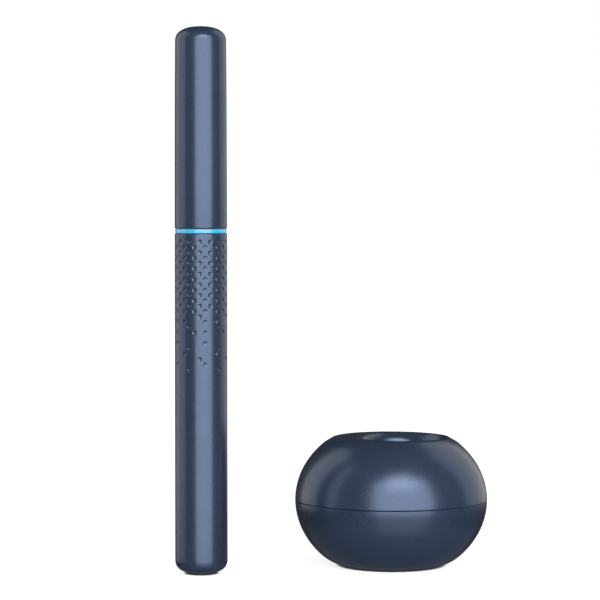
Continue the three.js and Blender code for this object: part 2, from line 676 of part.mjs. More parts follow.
function cup() {
  const wall = leaned(rod(CUP_RADIUS, -1.5, CUP_HEIGHT, PEN_FINE));
  const flange = rod(FLANGE_RADIUS, DECK_TOP + 0.1, DECK_TOP + 1.3, PEN_FINE);
  const bore = leaned(turned([
    [0, 0],
    [WELL_RADIUS - 1.6, 0],
    [WELL_RADIUS - 0.4, 1.0],
    [WELL_RADIUS, 2.6],
    [WELL_RADIUS, CUP_HEIGHT + 1],
    [0, CUP_HEIGHT + 1],
  ], PEN_FINE));
  const pinHole = (x) => leaned(rod(1.0, -3, 1, TINY_FINE).translate(x, 0, 0));
  return cut(joined(wall, flange), bore, ...Object.values(PIN_PLACES).map(pinHole));
}
piece(dock, "charging_cup", cup(), material.blackPlastic);
piece(well, "dock_magnet", ring(3.8, 7.0, -3.8, -1.8), material.nickel);
piece(well, "pin_board", rod(6.6, -5.8, -5.0), material.board);
for (const [name, x] of Object.entries(PIN_PLACES)) {
  const barrel = turned([
    [0, -4.9],
    [0.85, -4.9],
    [0.85, -0.1],
    [0.6, -0.1],
    [0.6, -4.4],
    [0, -4.4],
  ], TINY_FINE);
  const plunger = turned([
    [0, -2.9],
    [0.5, -2.9],
    [0.5, 0.6],
    [0.3, 0.9],
    [0, 1.0],
  ], TINY_FINE);
  piece(well, `pin_barrel_${name}`, barrel, material.gold).position.x = x;
  piece(well, `pin_plunger_${name}`, plunger, material.gold).position.x = x;
}
function pinWire(side) {
  return wire([
    [side * 2.2, 5.2, 4.9],
    [side * 2.2, 6.4, 3.6],
    [side * 2.4, 7.8, 3.3],
    [side * 2.6, 9.2, 3.35],
  ], WIRE_RADIUS, 8);
}
piece(dock, "pin_wire_red", pinWire(-1), material.redWire);
piece(dock, "pin_wire_black", pinWire(1), material.blackWire);

// ---------------------------------------------------------------- dock: lift-off upper shell

const SKIRT_OUTER = 23.75;
const SKIRT_INNER = 22.7;
const SKIRT_LOW_Z = 15.8;
const SKIRT_TOP_Z = SEAM_Z + 1.7;
const FUNNEL_WALL = 1.4;
const FUNNEL_RADIUS = 7.75;
const CRATER_TOP = (DOCK_HEIGHT - WELL_FLOOR_Z) / Math.cos(WELL_LEAN);
// The crater's bowl as [radius, depth below the rim] along the well's axis.
const BOWL = [
  [CRATER_RADIUS, 0],
  [11.5, 0.8],
  [10.9, 1.6],
  [10.5, 2.8],
  [9.9, 4.6],
  [8.8, 6.2],
  [FUNNEL_RADIUS, 7.6],
];

function upperShell() {
  const top = DOCK_HEIGHT - SEAM_Z;
  const outside = ellipseArc(DOCK_RADIUS, UPPER_RISE, SEAM_GAP / 2, top - 0.25, 8);
  const edge = outside[outside.length - 1][0];
  const inside = ellipseArc(
    DOCK_RADIUS - DOCK_WALL, UPPER_RISE - DOCK_WALL, 2.4, top - DOCK_WALL, 6);
  const dome = turned([
    [SKIRT_INNER, SKIRT_LOW_Z],
    [SKIRT_OUTER, SKIRT_LOW_Z],
    [SKIRT_OUTER, SEAM_Z + SEAM_GAP / 2],
    ...outside,
    [edge - 0.6, DOCK_HEIGHT],
    [0, DOCK_HEIGHT],
    [0, DOCK_HEIGHT - DOCK_WALL],
    ...inside.reverse(),
    [SKIRT_INNER, SKIRT_TOP_Z],
  ], DOCK_FINE);
  const solidDome = turned([
    [0, SEAM_Z],
    ...outside,
    [edge - 0.6, DOCK_HEIGHT],
    [0, DOCK_HEIGHT],
  ], DOCK_FINE);
  const bowl = BOWL.map(([radius, depth]) => [radius, CRATER_TOP - depth]);
  const above = CRATER_TOP + 3;
  const foot = CUP_HEIGHT + CLEAR;
  const inner = leaned(turned([
    [0, above],
    [CRATER_RADIUS + 0.5, above],
    [CRATER_RADIUS + 0.1, CRATER_TOP + 1],
    ...bowl,
    [FUNNEL_RADIUS, foot - 3],
    [0, foot - 3],
  ], PEN_FINE));
  const outer = leaned(turned([
    [0, above],
    ...bowl.map(([radius, height]) => [radius + FUNNEL_WALL, height - FUNNEL_WALL / 2]),
    [FUNNEL_RADIUS + FUNNEL_WALL, foot],
    [0, foot],
  ], PEN_FINE));
  return cut(joined(dome, shared(outer, solidDome)), inner);
}
piece(dock, "dock_upper_shell", upperShell(), material.navyShell);

export default cleaner;
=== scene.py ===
"""Looks of the camera ear cleaner: a capped pen that stands beside its ball-shaped charging dock.

Lengths are millimetres in the row's frame. make() turns a finished shape into metres.
"""
import json
import math

import bmesh
import bpy
from mathutils import Matrix, Vector

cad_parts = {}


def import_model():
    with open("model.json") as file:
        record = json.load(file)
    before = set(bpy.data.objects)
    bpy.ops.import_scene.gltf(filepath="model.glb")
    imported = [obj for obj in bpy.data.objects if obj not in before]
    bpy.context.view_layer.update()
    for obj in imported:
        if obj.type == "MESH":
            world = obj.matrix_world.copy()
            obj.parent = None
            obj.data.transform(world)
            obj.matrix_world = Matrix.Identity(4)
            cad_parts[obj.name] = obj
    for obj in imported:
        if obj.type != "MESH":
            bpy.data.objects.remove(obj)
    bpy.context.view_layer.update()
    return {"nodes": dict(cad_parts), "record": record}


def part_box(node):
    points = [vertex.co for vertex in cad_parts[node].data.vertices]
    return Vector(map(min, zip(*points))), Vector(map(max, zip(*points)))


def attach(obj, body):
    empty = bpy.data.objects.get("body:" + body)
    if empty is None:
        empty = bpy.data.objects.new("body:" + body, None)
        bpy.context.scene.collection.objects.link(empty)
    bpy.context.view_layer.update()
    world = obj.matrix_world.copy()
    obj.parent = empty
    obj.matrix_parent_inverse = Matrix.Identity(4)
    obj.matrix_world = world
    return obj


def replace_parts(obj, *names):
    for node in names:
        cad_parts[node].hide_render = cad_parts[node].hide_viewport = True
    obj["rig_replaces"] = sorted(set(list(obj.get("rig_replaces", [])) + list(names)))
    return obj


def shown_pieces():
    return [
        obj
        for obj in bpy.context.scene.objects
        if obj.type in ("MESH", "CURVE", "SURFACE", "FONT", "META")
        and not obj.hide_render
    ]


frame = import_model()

MM = 0.001
TAU = 2 * math.pi


# -------- sizes from the frame

def span(node):
    """Lowest and highest corner of a CAD node."""
    low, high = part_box(node)
    return low / MM, high / MM


def axis_of(node):
    """Where an upright CAD node's own axis meets the table."""
    low, high = span(node)
    return Vector(((low.x + high.x) / 2, (low.y + high.y) / 2, 0))


def radius_of(node):
    """Half the width of a CAD node."""
    low, high = span(node)
    return (high.x - low.x) / 2


def heights_of(node):
    """The lowest and highest Z of a CAD node."""
    low, high = span(node)
    return low.z, high.z


PEN_AXIS = axis_of("handle_shell")
TAIL_RADIUS = radius_of("handle_shell")
CAP_RADIUS = radius_of("cap_shell")
RING_RADIUS = radius_of("light_ring")
NECK_RADIUS = radius_of("neck")
TUBE_RADIUS = radius_of("lens_tube")
HANDLE_HIGH = span("handle_shell")[1].z
CAP_HIGH = span("cap_shell")[1].z
RING_LOW, RING_HIGH = heights_of("light_ring")
NECK_LOW, NECK_HIGH = heights_of("neck")
TUBE_LOW, TUBE_HIGH = heights_of("lens_tube")
TIP_LOW, TIP_HIGH = heights_of("ear_tip")

DOCK_RADIUS = radius_of("dock_upper_shell")
DOCK_HIGH = span("dock_upper_shell")[1].z
SEAM_LOW = span("dock_lower_shell")[1].z
DOCK_RIM = SEAM_LOW + 0.3  # the lid's lower edge, above the modelling clearance
DOCK_LOW = span("dock_lower_shell")[0].z
DECK_LOW = span("storage_deck")[0].z
DECK_RADIUS = radius_of("storage_deck")

MOUNTS = {mount["name"]: mount for mount in frame["record"]["mounts"]}
WELL_AXIS = Vector(MOUNTS["well_floor"]["axis"]).normalized()
WELL_LEAN = math.atan2(WELL_AXIS.x, WELL_AXIS.z)
WELL_SEAT = Vector(MOUNTS["well_floor"]["pos_m"]) / MM
WELL_FLOOR = Vector((0, 0, WELL_SEAT.z + WELL_SEAT.x * math.tan(WELL_LEAN)))

# -------- shape helpers

FINE = 128  # sides of the large round pieces
MEDIUM = 72
SMALL = 48
ARC_STEPS = 4


def rounded(outline):
    """The outline's points, with an arc at each corner that names a radius as its third number."""
    points = []
    for i, (x, z, *fillet) in enumerate(outline):
        if not any(fillet):
            points.append((x, z))
            continue
        corner = Vector((x, z))
        before = Vector(outline[i - 1][:2]) - corner
        after = Vector(outline[(i + 1) % len(outline)][:2]) - corner
        half = before.angle(after) / 2
        reach = min(fillet[0] / math.tan(half), 0.49 * before.length, 0.49 * after.length)
        bisector = (before.normalized() + after.normalized()).normalized()
        middle = corner + bisector * (reach / math.cos(half))
        start = corner + before.normalized() * reach - middle
        sweep = start.angle_signed(corner + after.normalized() * reach - middle)
        for step in range(ARC_STEPS + 1):
            turn = Matrix.Rotation(-sweep * step / ARC_STEPS, 2)
            points.append(tuple(middle + turn @ start))
    return points


def around(radius, degrees):
    """A point of a circle about the dock's axis, as (x, y)."""
    angle = math.radians(degrees)
    return radius * math.cos(angle), radius * math.sin(angle)


def circle(radius, height, sides=FINE, centre=0.0):
    """A level ring of points about the Z axis, or about a centre on the X axis."""
    if radius < 1e-6:
        return [Vector((centre, 0, height))]
    angles = (TAU * i / sides for i in range(sides))
    return [Vector((centre + radius * math.cos(a), radius * math.sin(a), height)) for a in angles]


def loft(rings, loop=True):
    """A skin through rings of points, where a ring of one point is a pole."""
    shape = bmesh.new()
    rows = [[shape.verts.new(point) for point in ring] for ring in rings]
    pairs = list(zip(rows, rows[1:]))
    if loop:
        pairs.append((rows[-1], rows[0]))
    for low, high in pairs:
        for i in range(max(len(low), len(high))):
            j = i + 1
            corners = low[i % len(low)], low[j % len(low)], high[j % len(high)], high[i % len(high)]
            face = list(dict.fromkeys(corners))
            if len(face) > 2:
                shape.faces.new(face)
    bmesh.ops.recalc_face_normals(shape, faces=shape.faces)
    return shape


def turned(outline, sides=FINE):
    """A solid turned about Z from a closed outline of (radius, height) points."""
    return loft([circle(radius, height, sides) for radius, height in rounded(outline)])


def disc(radius, low, high, low_edge=0, high_edge=0):
    """The outline of a solid disc with rounded rims."""
    return [(0, low), (radius, low, low_edge), (radius, high, high_edge), (0, high)]


def band(inner, outer, low, high, outer_edge=0, inner_edge=0):
    """The outline of a ring with rounded upper rims."""
    return [(inner, low), (outer, low), (outer, high, outer_edge), (inner, high, inner_edge)]


def prism(outline, near, far):
    """A flat outline of (across, up) points, raised along +Y from near to far."""
    shape = bmesh.new()
    ends = [[shape.verts.new((across, depth, up)) for across, up in outline] for depth in (near, far)]
    for end in ends:
        shape.faces.new(end)
    for i in range(len(outline)):
        j = (i + 1) % len(outline)
        shape.faces.new([ends[0][i], ends[0][j], ends[1][j], ends[1][i]])
    bmesh.ops.recalc_face_normals(shape, faces=shape.faces)
    return shape


def add_box(shape, low, high):
    """Adds a block between two corners to a shape."""
    size = Vector(high) - Vector(low)
    middle = (Vector(high) + Vector(low)) / 2
    place = Matrix.Translation(middle) @ Matrix.Diagonal((*size, 1))
    bmesh.ops.create_cube(shape, size=1, matrix=place)


def box(low, high, edge=0.0):
    """A block between two corners, with its edges rounded."""
    shape = bmesh.new()
    add_box(shape, low, high)
    if edge:
        bmesh.ops.bevel(shape, geom=shape.edges, offset=edge, segments=3, profile=0.5, affect="EDGES")
    return shape


def slot_outline(half_width, half_height, steps=12):
    """A slot with round ends."""
    straight = half_width - half_height
    points = []
    for side, first in ((1, -math.pi / 2), (-1, math.pi / 2)):
        for step in range(steps + 1):
            angle = first + math.pi * step / steps
            across = side * straight + half_height * math.cos(angle)
            points.append((across, half_height * math.sin(angle)))
    return points


def placed(shape, offset=(0, 0, 0), lean=0.0, spin=0.0):
    """The shape spun about Z, leaned about Y, then moved."""
    turn = Matrix.Rotation(lean, 4, "Y") @ Matrix.Rotation(spin, 4, "Z")
    shape.transform(Matrix.Translation(offset) @ turn)
    return shape


def in_well(shape, x=0.0):
    """A shape of the leaning well, whose floor's centre is the shape's origin, put in the dock."""
    shape.transform(Matrix.Translation((x, 0, 0)))
    return placed(shape, WELL_FLOOR, lean=WELL_LEAN)


def object_of(shape, name):
    mesh = bpy.data.meshes.new(name)
    shape.to_mesh(mesh)
    shape.free()
    holder = bpy.data.objects.new(name, mesh)
    bpy.context.scene.collection.objects.link(holder)
    return holder


def combined(shape, *steps):
    """The shape after each (operation, other shape): UNION, DIFFERENCE or INTERSECT."""
    whole = object_of(shape, "whole")
    others = []
    for operation, other in steps:
        others.append(object_of(other, "other"))
        modifier = whole.modifiers.new(operation, "BOOLEAN")
        modifier.operation = operation
        modifier.solver = "EXACT"
        modifier.object = others[-1]
    made = bmesh.new()
    made.from_object(whole, bpy.context.evaluated_depsgraph_get())
    bmesh.ops.remove_doubles(made, verts=made.verts, dist=1e-4)
    bmesh.ops.dissolve_degenerate(made, edges=made.edges, dist=1e-5)
    for holder in (whole, *others):
        mesh = holder.data
        bpy.data.objects.remove(holder)
        bpy.data.meshes.remove(mesh)
    return made


def make(name, shape, body, material, replaces, sharp=32):
    """The finished piece in metres. Edges that turn by more than sharp degrees stay crisp."""
    shape.transform(Matrix.Scale(MM, 4))
    piece = object_of(shape, name)
    piece.data.shade_smooth()
    piece.data.set_sharp_from_angle(angle=math.radians(sharp))
    piece.data.materials.append(material)
    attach(piece, body)
    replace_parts(piece, *replaces)
    return piece


def bent(start, corner, end, t):
    """A point of the curve from start to end that leaves and arrives in line with the corner."""
    points = (start, corner, end)
    weights = ((1 - t) ** 2, 2 * t * (1 - t), t ** 2)
    return tuple(sum(w * point[k] for w, point in zip(weights, points)) for k in range(2))


def superellipse(radius, height, power, steps, from_radius=0.0):
    """Points of a rounded end from its crown out to its side: (radius, height above the side's end)."""
    start = math.acos((from_radius / radius) ** (power / 2))
    points = []
    for step in range(steps + 1):
        angle = start * (1 - step / steps)
        across = radius * math.cos(angle) ** (2 / power)
        points.append((across, height * math.sin(angle) ** (2 / power)))
    return points


# -------- materials

class Surface:
    """A Principled material that is being wired up, in the object's own coordinates."""

    def __init__(self, name, color, roughness, metallic=0.0, **sockets):
        self.material = bpy.data.materials.new(name)
        self.material.use_nodes = True
        self.tree = self.material.node_tree
        self.shader = self.tree.nodes["Principled BSDF"]
        self.shader.inputs["Base Color"].default_value = (*color, 1)
        self.shader.inputs["Roughness"].default_value = roughness
        self.shader.inputs["Metallic"].default_value = metallic
        for socket, value in sockets.items():
            self.shader.inputs[socket.replace("_", " ")].default_value = value
        self.place = self.node("ShaderNodeTexCoord").outputs["Object"]

    def node(self, kind, **values):
        node = self.tree.nodes.new(kind)
        for key, value in values.items():
            setattr(node, key, value)
        return node

    def link(self, source, target):
        self.tree.links.new(source, target)

    def noise(self, size_mm, detail=2.0, stretch=(1, 1, 1)):
        """Noise whose features are about size_mm across, or longer along a stretched axis."""
        mapping = self.node("ShaderNodeMapping")
        mapping.inputs["Scale"].default_value = [1 / (size_mm * MM * part) for part in stretch]
        self.link(self.place, mapping.inputs["Vector"])
        noise = self.node("ShaderNodeTexNoise")
        noise.inputs["Scale"].default_value = 1.0
        noise.inputs["Detail"].default_value = detail
        self.link(mapping.outputs["Vector"], noise.inputs["Vector"])
        return noise.outputs["Fac"]

    def flakes(self, size_mm):
        """One random grey for each flake."""
        cells = self.node("ShaderNodeTexVoronoi", feature="F1")
        cells.inputs["Scale"].default_value = 1 / (size_mm * MM)
        self.link(self.place, cells.inputs["Vector"])
        split = self.node("ShaderNodeSeparateColor")
        self.link(cells.outputs["Color"], split.inputs["Color"])
        return split.outputs["Red"]

    def spread(self, value, start, end, low, high, **how):
        """Goes from low to high while a value goes from start to end."""
        spread = self.node("ShaderNodeMapRange", **how)
        limits = {"From Min": start, "From Max": end, "To Min": low, "To Max": high}
        for socket, number in limits.items():
            spread.inputs[socket].default_value = number
        self.link(value, spread.inputs["Value"])
        return spread.outputs["Result"]

    def tint(self, value, dark, light):
        """Colours the surface between two colours."""
        ramp = self.node("ShaderNodeValToRGB")
        ramp.color_ramp.elements[0].position = 0.3
        ramp.color_ramp.elements[0].color = (*dark, 1)
        ramp.color_ramp.elements[1].position = 0.7
        ramp.color_ramp.elements[1].color = (*light, 1)
        self.link(value, ramp.inputs["Fac"])
        self.link(ramp.outputs["Color"], self.shader.inputs["Base Color"])

    def polish(self, value, low, high):
        """Varies the roughness with the middle of a 0 to 1 value's range."""
        self.link(self.spread(value, 0.3, 0.7, low, high), self.shader.inputs["Roughness"])

    def bump(self, value, height_mm, strength=1.0):
        """Raises the surface, on top of what an earlier call raised."""
        bump = self.node("ShaderNodeBump")
        bump.inputs["Strength"].default_value = strength
        bump.inputs["Distance"].default_value = height_mm * MM
        self.link(value, bump.inputs["Height"])
        normal = self.shader.inputs["Normal"]
        if normal.is_linked:
            self.link(normal.links[0].from_socket, bump.inputs["Normal"])
        self.link(bump.outputs["Normal"], normal)


def shades(color, spread):
    """A colour a little darker, and a little lighter."""
    return [part * (1 - spread) for part in color], [part * (1 + spread) for part in color]


NAVY = (0.042, 0.065, 0.122)


def navy_lacquer():
    """Satin metallic lacquer over moulded plastic: fine flake, slight orange peel, handling haze."""
    surface = Surface("navy_lacquer", NAVY, 0.27, 0.5, IOR=1.55)
    surface.tint(surface.flakes(0.07), *shades(NAVY, 0.08))
    surface.polish(surface.noise(6, 3), 0.25, 0.29)
    surface.bump(surface.noise(1.4, 1), 0.0005)
    return surface.material


def lit_ring():
    """A milky light guide, lit from below by three lamps."""
    surface = Surface("lit_ring", (0.05, 0.24, 0.34), 0.22, Coat_Weight=0.5, Coat_Roughness=0.12)
    surface.tint(surface.noise(2.5), (0.04, 0.21, 0.31), (0.06, 0.27, 0.37))
    surface.shader.inputs["Emission Color"].default_value = (0.02, 0.24, 0.44, 1)
    surface.shader.inputs["Emission Strength"].default_value = 0.9
    surface.bump(surface.noise(0.4), 0.001)
    return surface.material


def moulded(name, color, roughness, grain_mm=0.18, depth_mm=0.006, **sockets):
    """Spark-eroded moulded plastic or rubber: a fine even grain and slight changes of shade."""
    surface = Surface(name, color, roughness, **sockets)
    surface.tint(surface.noise(1.6, 3), *shades(color, 0.10))
    surface.polish(surface.noise(2.5), roughness - 0.05, roughness + 0.05)
    surface.bump(surface.noise(grain_mm, 3), depth_mm)
    return surface.material


def metal(name, color, roughness, stretch=(1, 1, 1), grain_mm=0.12, depth_mm=0.0015):
    """Bare or plated metal with fine tool marks along the stretched axis."""
    surface = Surface(name, color, roughness, 1.0)
    surface.tint(surface.noise(2.2, 2), *shades(color, 0.05))
    surface.polish(surface.noise(grain_mm, 3, stretch), roughness - 0.06, roughness + 0.06)
    surface.bump(surface.noise(grain_mm, 3, stretch), depth_mm)
    return surface.material


def silicone():
    """Soft milky silicone, a little see-through."""
    surface = Surface("silicone", (0.66, 0.71, 0.76), 0.34, IOR=1.41, Transmission_Weight=0.3)
    surface.tint(surface.noise(2.0), (0.63, 0.69, 0.74), (0.70, 0.74, 0.78))
    surface.polish(surface.noise(1.2), 0.30, 0.38)
    surface.bump(surface.noise(0.8), 0.002)
    return surface.material


def clear_plastic():
    surface = Surface("clear_plastic", (0.90, 0.94, 0.97), 0.10, IOR=1.49, Transmission_Weight=0.7)
    surface.polish(surface.noise(0.6), 0.08, 0.14)
    surface.bump(surface.noise(0.3), 0.001)
    return surface.material


def lens_glass():
    surface = Surface("lens_glass", (0.010, 0.014, 0.030), 0.04, Coat_Weight=1.0, Coat_Roughness=0.02)
    surface.tint(surface.noise(0.8), (0.008, 0.010, 0.026), (0.020, 0.014, 0.045))
    return surface.material


def circuit_board():
    """Green solder mask with faint tracks."""
    surface = Surface("circuit_board", (0.02, 0.13, 0.08), 0.38, Coat_Weight=0.3)
    surface.tint(surface.noise(0.5, 1, (1, 1, 5)), (0.012, 0.09, 0.055), (0.03, 0.19, 0.11))
    surface.bump(surface.noise(0.5, 1, (1, 1, 5)), 0.02)
    return surface.material


MATERIALS = {
    "navy_shell": navy_lacquer(),
    "light_ring": lit_ring(),
    "black_plastic": moulded("black_plastic", (0.020, 0.021, 0.024), 0.50),
    "graphite_plastic": moulded("graphite_plastic", (0.045, 0.050, 0.060), 0.52, depth_mm=0.009),
    "white_plastic": moulded("white_plastic", (0.76, 0.78, 0.80), 0.45),
    "clear_silicone": silicone(),
    "clear_plastic": clear_plastic(),
    "lens_glass": lens_glass(),
    "steel": metal("steel", (0.33, 0.335, 0.345), 0.40, (1, 1, 8)),
    "nickel": metal("nickel", (0.60, 0.59, 0.57), 0.22),
    "gold": metal("gold", (0.86, 0.60, 0.24), 0.20),
    "rubber": moulded("rubber", (0.016, 0.016, 0.018), 0.78, 0.25, 0.014),
    "ballast_iron": metal("ballast_iron", (0.20, 0.20, 0.21), 0.55, grain_mm=0.5, depth_mm=0.03),
    "battery": moulded("battery", (0.06, 0.26, 0.14), 0.35, 0.8, 0.01, Coat_Weight=0.4),
    "circuit_board": circuit_board(),
    "chip": moulded("chip", (0.016, 0.016, 0.019), 0.55),
    "flex": moulded("flex", (0.42, 0.20, 0.04), 0.35, 0.6, 0.004, Coat_Weight=0.3),
    "red_wire": moulded("red_wire", (0.45, 0.02, 0.02), 0.42),
    "black_wire": moulded("black_wire", (0.02, 0.02, 0.02), 0.42),
}
SLOT_OF = {part["node"]: part["material_slot"] for part in frame["record"]["subparts"]}
BODY_OF = {
    node: body for body, nodes in frame["record"]["behaviour"]["bodies"].items() for node in nodes
}


def stand_for(node, shape, sharp=32):
    """Makes the fine piece that replaces one CAD node, with that node's body and slot."""
    slot = SLOT_OF[node]
    return make(f"{node}_fine", shape, BODY_OF[node], MATERIALS[slot], [node], sharp)


# -------- pen: handle

TAIL_HEIGHT = 4.0
TAIL_POWER = 2.7
TAIL_HOLE = 4.3
TAIL_FLOOR = 1.9
HANDLE_BORE = CAP_RADIUS - 0.71
EDGE = 0.36  # the small round on the cap's and the handle's facing edges

COLUMNS = 30  # columns of dimple cells round the barrel
CELL_PARTS = 4  # steps along each side of a cell
CELL_ANGLE = TAU / COLUMNS
FIRST_COLUMN = math.radians(-0.6)  # from the front, towards +X
ROW_PITCH = 1.408  # neighbouring columns are half a dimple pitch apart
FIRST_ROW = 2.2  # below the handle's top edge
ROWS = 25
DIMPLE_RADIUS = 0.60
DIMPLE_DEPTH = 0.17
DIMPLE_STEPS = (1.0, 0.86, 0.62, 0.32)
DIMPLE_RIM = 0.008  # the sharp step down at a dimple's rim
DIMPLE_LAND = DIMPLE_RADIUS * 1.05  # where the untouched barrel begins
# The last row of each column's unbroken run, and the rows of its stray dimples, over six columns.
FADE = ((14, (22,)), (19, (23,)), (12, ()), (15, (21,)), (12, (16, 20, 24)), (13, (17,)))


def handle_radius(height):
    """The barrel narrows a little from the tail's rounding up to the light ring."""
    rise = (height - TAIL_HEIGHT) / (HANDLE_HIGH - TAIL_HEIGHT)
    return TAIL_RADIUS + (CAP_RADIUS - TAIL_RADIUS) * min(max(rise, 0), 1)


def on_barrel(turn, height, depth=0.0):
    """A point of the barrel: turn is the angle from the front, towards +X."""
    radius = handle_radius(height) - depth
    return Vector((radius * math.sin(turn), -radius * math.cos(turn), height))


def barrel_ring(radius, height):
    """A ring of the handle whose points line up with the corners of the dimple cells."""
    count = COLUMNS * CELL_PARTS
    first = FIRST_COLUMN - CELL_ANGLE / 2
    turns = (first + TAU * i / count for i in range(count))
    return [Vector((radius * math.sin(turn), -radius * math.cos(turn), height)) for turn in turns]


def has_dimple(column, row):
    """Even columns have dimples in even rows, odd ones in odd rows, and they thin out downwards."""
    last, strays = FADE[column % len(FADE)]
    return (column + row) % 2 == 0 and (row <= last or row in strays)


def cell_border():
    """Points round a cell, from -1 to 1 across and up."""
    side = [2 * i / CELL_PARTS - 1 for i in range(CELL_PARTS)]
    return ([(s, -1) for s in side] + [(1, s) for s in side]
            + [(-s, 1) for s in side] + [(-1, -s) for s in side])


def add_plain_cell(shape, turn, height):
    """A smooth stretch of barrel."""
    def corner(i, j):
        across = (2 * i / CELL_PARTS - 1) * CELL_ANGLE / 2
        up = (2 * j / CELL_PARTS - 1) * ROW_PITCH / 2
        return shape.verts.new(on_barrel(turn + across, height + up))
    steps = range(CELL_PARTS + 1)
    grid = [[corner(i, j) for j in steps] for i in steps]
    for i in range(CELL_PARTS):
        for j in range(CELL_PARTS):
            shape.faces.new([grid[i][j], grid[i + 1][j], grid[i + 1][j + 1], grid[i][j + 1]])


def dimple_rings():
    """The (radius, depth) of a dimple's rings, which lie on a ball."""
    ball = (DIMPLE_RADIUS ** 2 + DIMPLE_DEPTH ** 2) / (2 * DIMPLE_DEPTH)
    rings = [(DIMPLE_LAND, 0.0)]
    for step in DIMPLE_STEPS:
        reach = DIMPLE_RADIUS * step
        hollow = math.sqrt(ball ** 2 - reach ** 2) - (ball - DIMPLE_DEPTH)
        rings.append((reach, hollow + DIMPLE_RIM))
    return rings


def add_dimple_cell(shape, turn, height):
    """A cell with a small round hollow pressed into the barrel."""
    barrel = handle_radius(height)
    half = Vector((CELL_ANGLE / 2 * barrel, ROW_PITCH / 2))
    border = [Vector((across * half.x, up * half.y)) for across, up in cell_border()]
    rows = [[on_barrel(turn + point.x / barrel, height + point.y) for point in border]]
    for reach, depth in dimple_rings():
        ring = [point.normalized() * reach for point in border]
        rows.append([on_barrel(turn + point.x / barrel, height + point.y, depth) for point in ring])
    rows = [[shape.verts.new(point) for point in row] for row in rows]
    count = len(border)
    for outer, inner in zip(rows, rows[1:]):
        for i in range(count):
            shape.faces.new([outer[i], outer[(i + 1) % count], inner[(i + 1) % count], inner[i]])
    bottom = shape.verts.new(on_barrel(turn, height, DIMPLE_DEPTH + DIMPLE_RIM))
    for i in range(count):
        shape.faces.new([rows[-1][i], rows[-1][(i + 1) % count], bottom])


def handle():
    """The barrel: rounded tail, dimpled grip, crisp top edge and a plain bore."""
    grip_top = HANDLE_HIGH - FIRST_ROW + ROW_PITCH / 2
    grip_bottom = grip_top - ROWS * ROW_PITCH
    tail = [(radius, TAIL_HEIGHT - height)
            for radius, height in superellipse(TAIL_RADIUS, TAIL_HEIGHT, TAIL_POWER, 14, TAIL_HOLE)]
    below = [barrel_ring(*point) for point in tail]
    barrel_steps = 12
    for i in range(1, barrel_steps):
        height = TAIL_HEIGHT + (grip_bottom - TAIL_HEIGHT) * i / barrel_steps
        below.append(barrel_ring(handle_radius(height), height))
    below.append(barrel_ring(handle_radius(grip_bottom), grip_bottom))
    top = rounded([
        (handle_radius(grip_top), grip_top),
        (CAP_RADIUS, HANDLE_HIGH, EDGE),
        (HANDLE_BORE, HANDLE_HIGH, 0.1),
        (HANDLE_BORE, TAIL_FLOOR + 1.7, 0.3),
        (HANDLE_BORE - 0.8, TAIL_FLOOR, 0.3),
        (TAIL_HOLE, TAIL_FLOOR, 0.1),
        (TAIL_HOLE, tail[0][1]),
    ])[:-1]
    shape = loft([barrel_ring(*point) for point in top] + below, loop=False)
    for column in range(COLUMNS):
        for row in range(ROWS):
            add = add_dimple_cell if has_dimple(column, row) else add_plain_cell
            add(shape, FIRST_COLUMN + column * CELL_ANGLE, HANDLE_HIGH - FIRST_ROW - row * ROW_PITCH)
    bmesh.ops.remove_doubles(shape, verts=shape.verts, dist=1e-3)
    bmesh.ops.recalc_face_normals(shape, faces=shape.faces)
    return placed(shape, PEN_AXIS)


def on_pen(outline, sides=FINE):
    """A solid turned about the pen's axis."""
    return placed(turned(outline, sides), PEN_AXIS)


stand_for("handle_shell", handle(), sharp=40)

# -------- pen: tail

TAIL_FLAT = 3.4
CONTACT_LOW, CONTACT_TOP = heights_of("tail_contact_pad")
PLATE_TOP = span("tail_plate")[1].z
PLATE_RADIUS = radius_of("tail_plate")
PAD_RADIUS = radius_of("tail_contact_pad")
RAIL_OUTER = radius_of("tail_contact_ring")
RAIL_INNER = RAIL_OUTER - 0.9
PLAY = 0.05

stand_for("tail_plate", on_pen([
    (0, CONTACT_TOP + PLAY),
    (PAD_RADIUS + PLAY, CONTACT_TOP + PLAY),
    (PAD_RADIUS + PLAY, 0, 0.06),
    (RAIL_INNER - PLAY, 0, 0.06),
    (RAIL_INNER - PLAY, CONTACT_TOP + PLAY),
    (RAIL_OUTER + PLAY, CONTACT_TOP + PLAY),
    (RAIL_OUTER + PLAY, 0, 0.06),
    (TAIL_FLAT, 0, 0.3),
    (TAIL_HOLE - 0.08, 0.3, 0.1),
    (TAIL_HOLE - 0.08, TAIL_FLOOR + 0.5),
    (PLATE_RADIUS, TAIL_FLOOR + 0.5),
    (PLATE_RADIUS, PLATE_TOP),
    (0, PLATE_TOP),
]))
stand_for("tail_contact_pad", on_pen(disc(PAD_RADIUS, CONTACT_LOW, CONTACT_TOP, 0.12), SMALL))
stand_for("tail_contact_ring", on_pen([
    (RAIL_INNER, CONTACT_LOW, 0.12),
    (RAIL_OUTER, CONTACT_LOW, 0.12),
    (RAIL_OUTER, CONTACT_TOP),
    (RAIL_INNER, CONTACT_TOP),
], MEDIUM))

# -------- pen: light ring, neck and O-ring

RING_BORE = 4.9
NECK_BORE = 3.5
SHOULDER_TOP = 98.4
SEAT = TUBE_LOW - 0.2
GROOVE_LOW = 94.4
GROOVE_HIGH = 95.6
GROOVE_RADIUS = 4.4

stand_for("light_ring", on_pen([
    (RING_BORE, RING_LOW),
    (HANDLE_BORE - 0.06, RING_LOW),
    (HANDLE_BORE - 0.06, HANDLE_HIGH + PLAY, 0.05),
    (RING_RADIUS, HANDLE_HIGH + PLAY, 0.12),
    (RING_RADIUS, RING_HIGH, 0.12),
    (RING_BORE, RING_HIGH),
]))


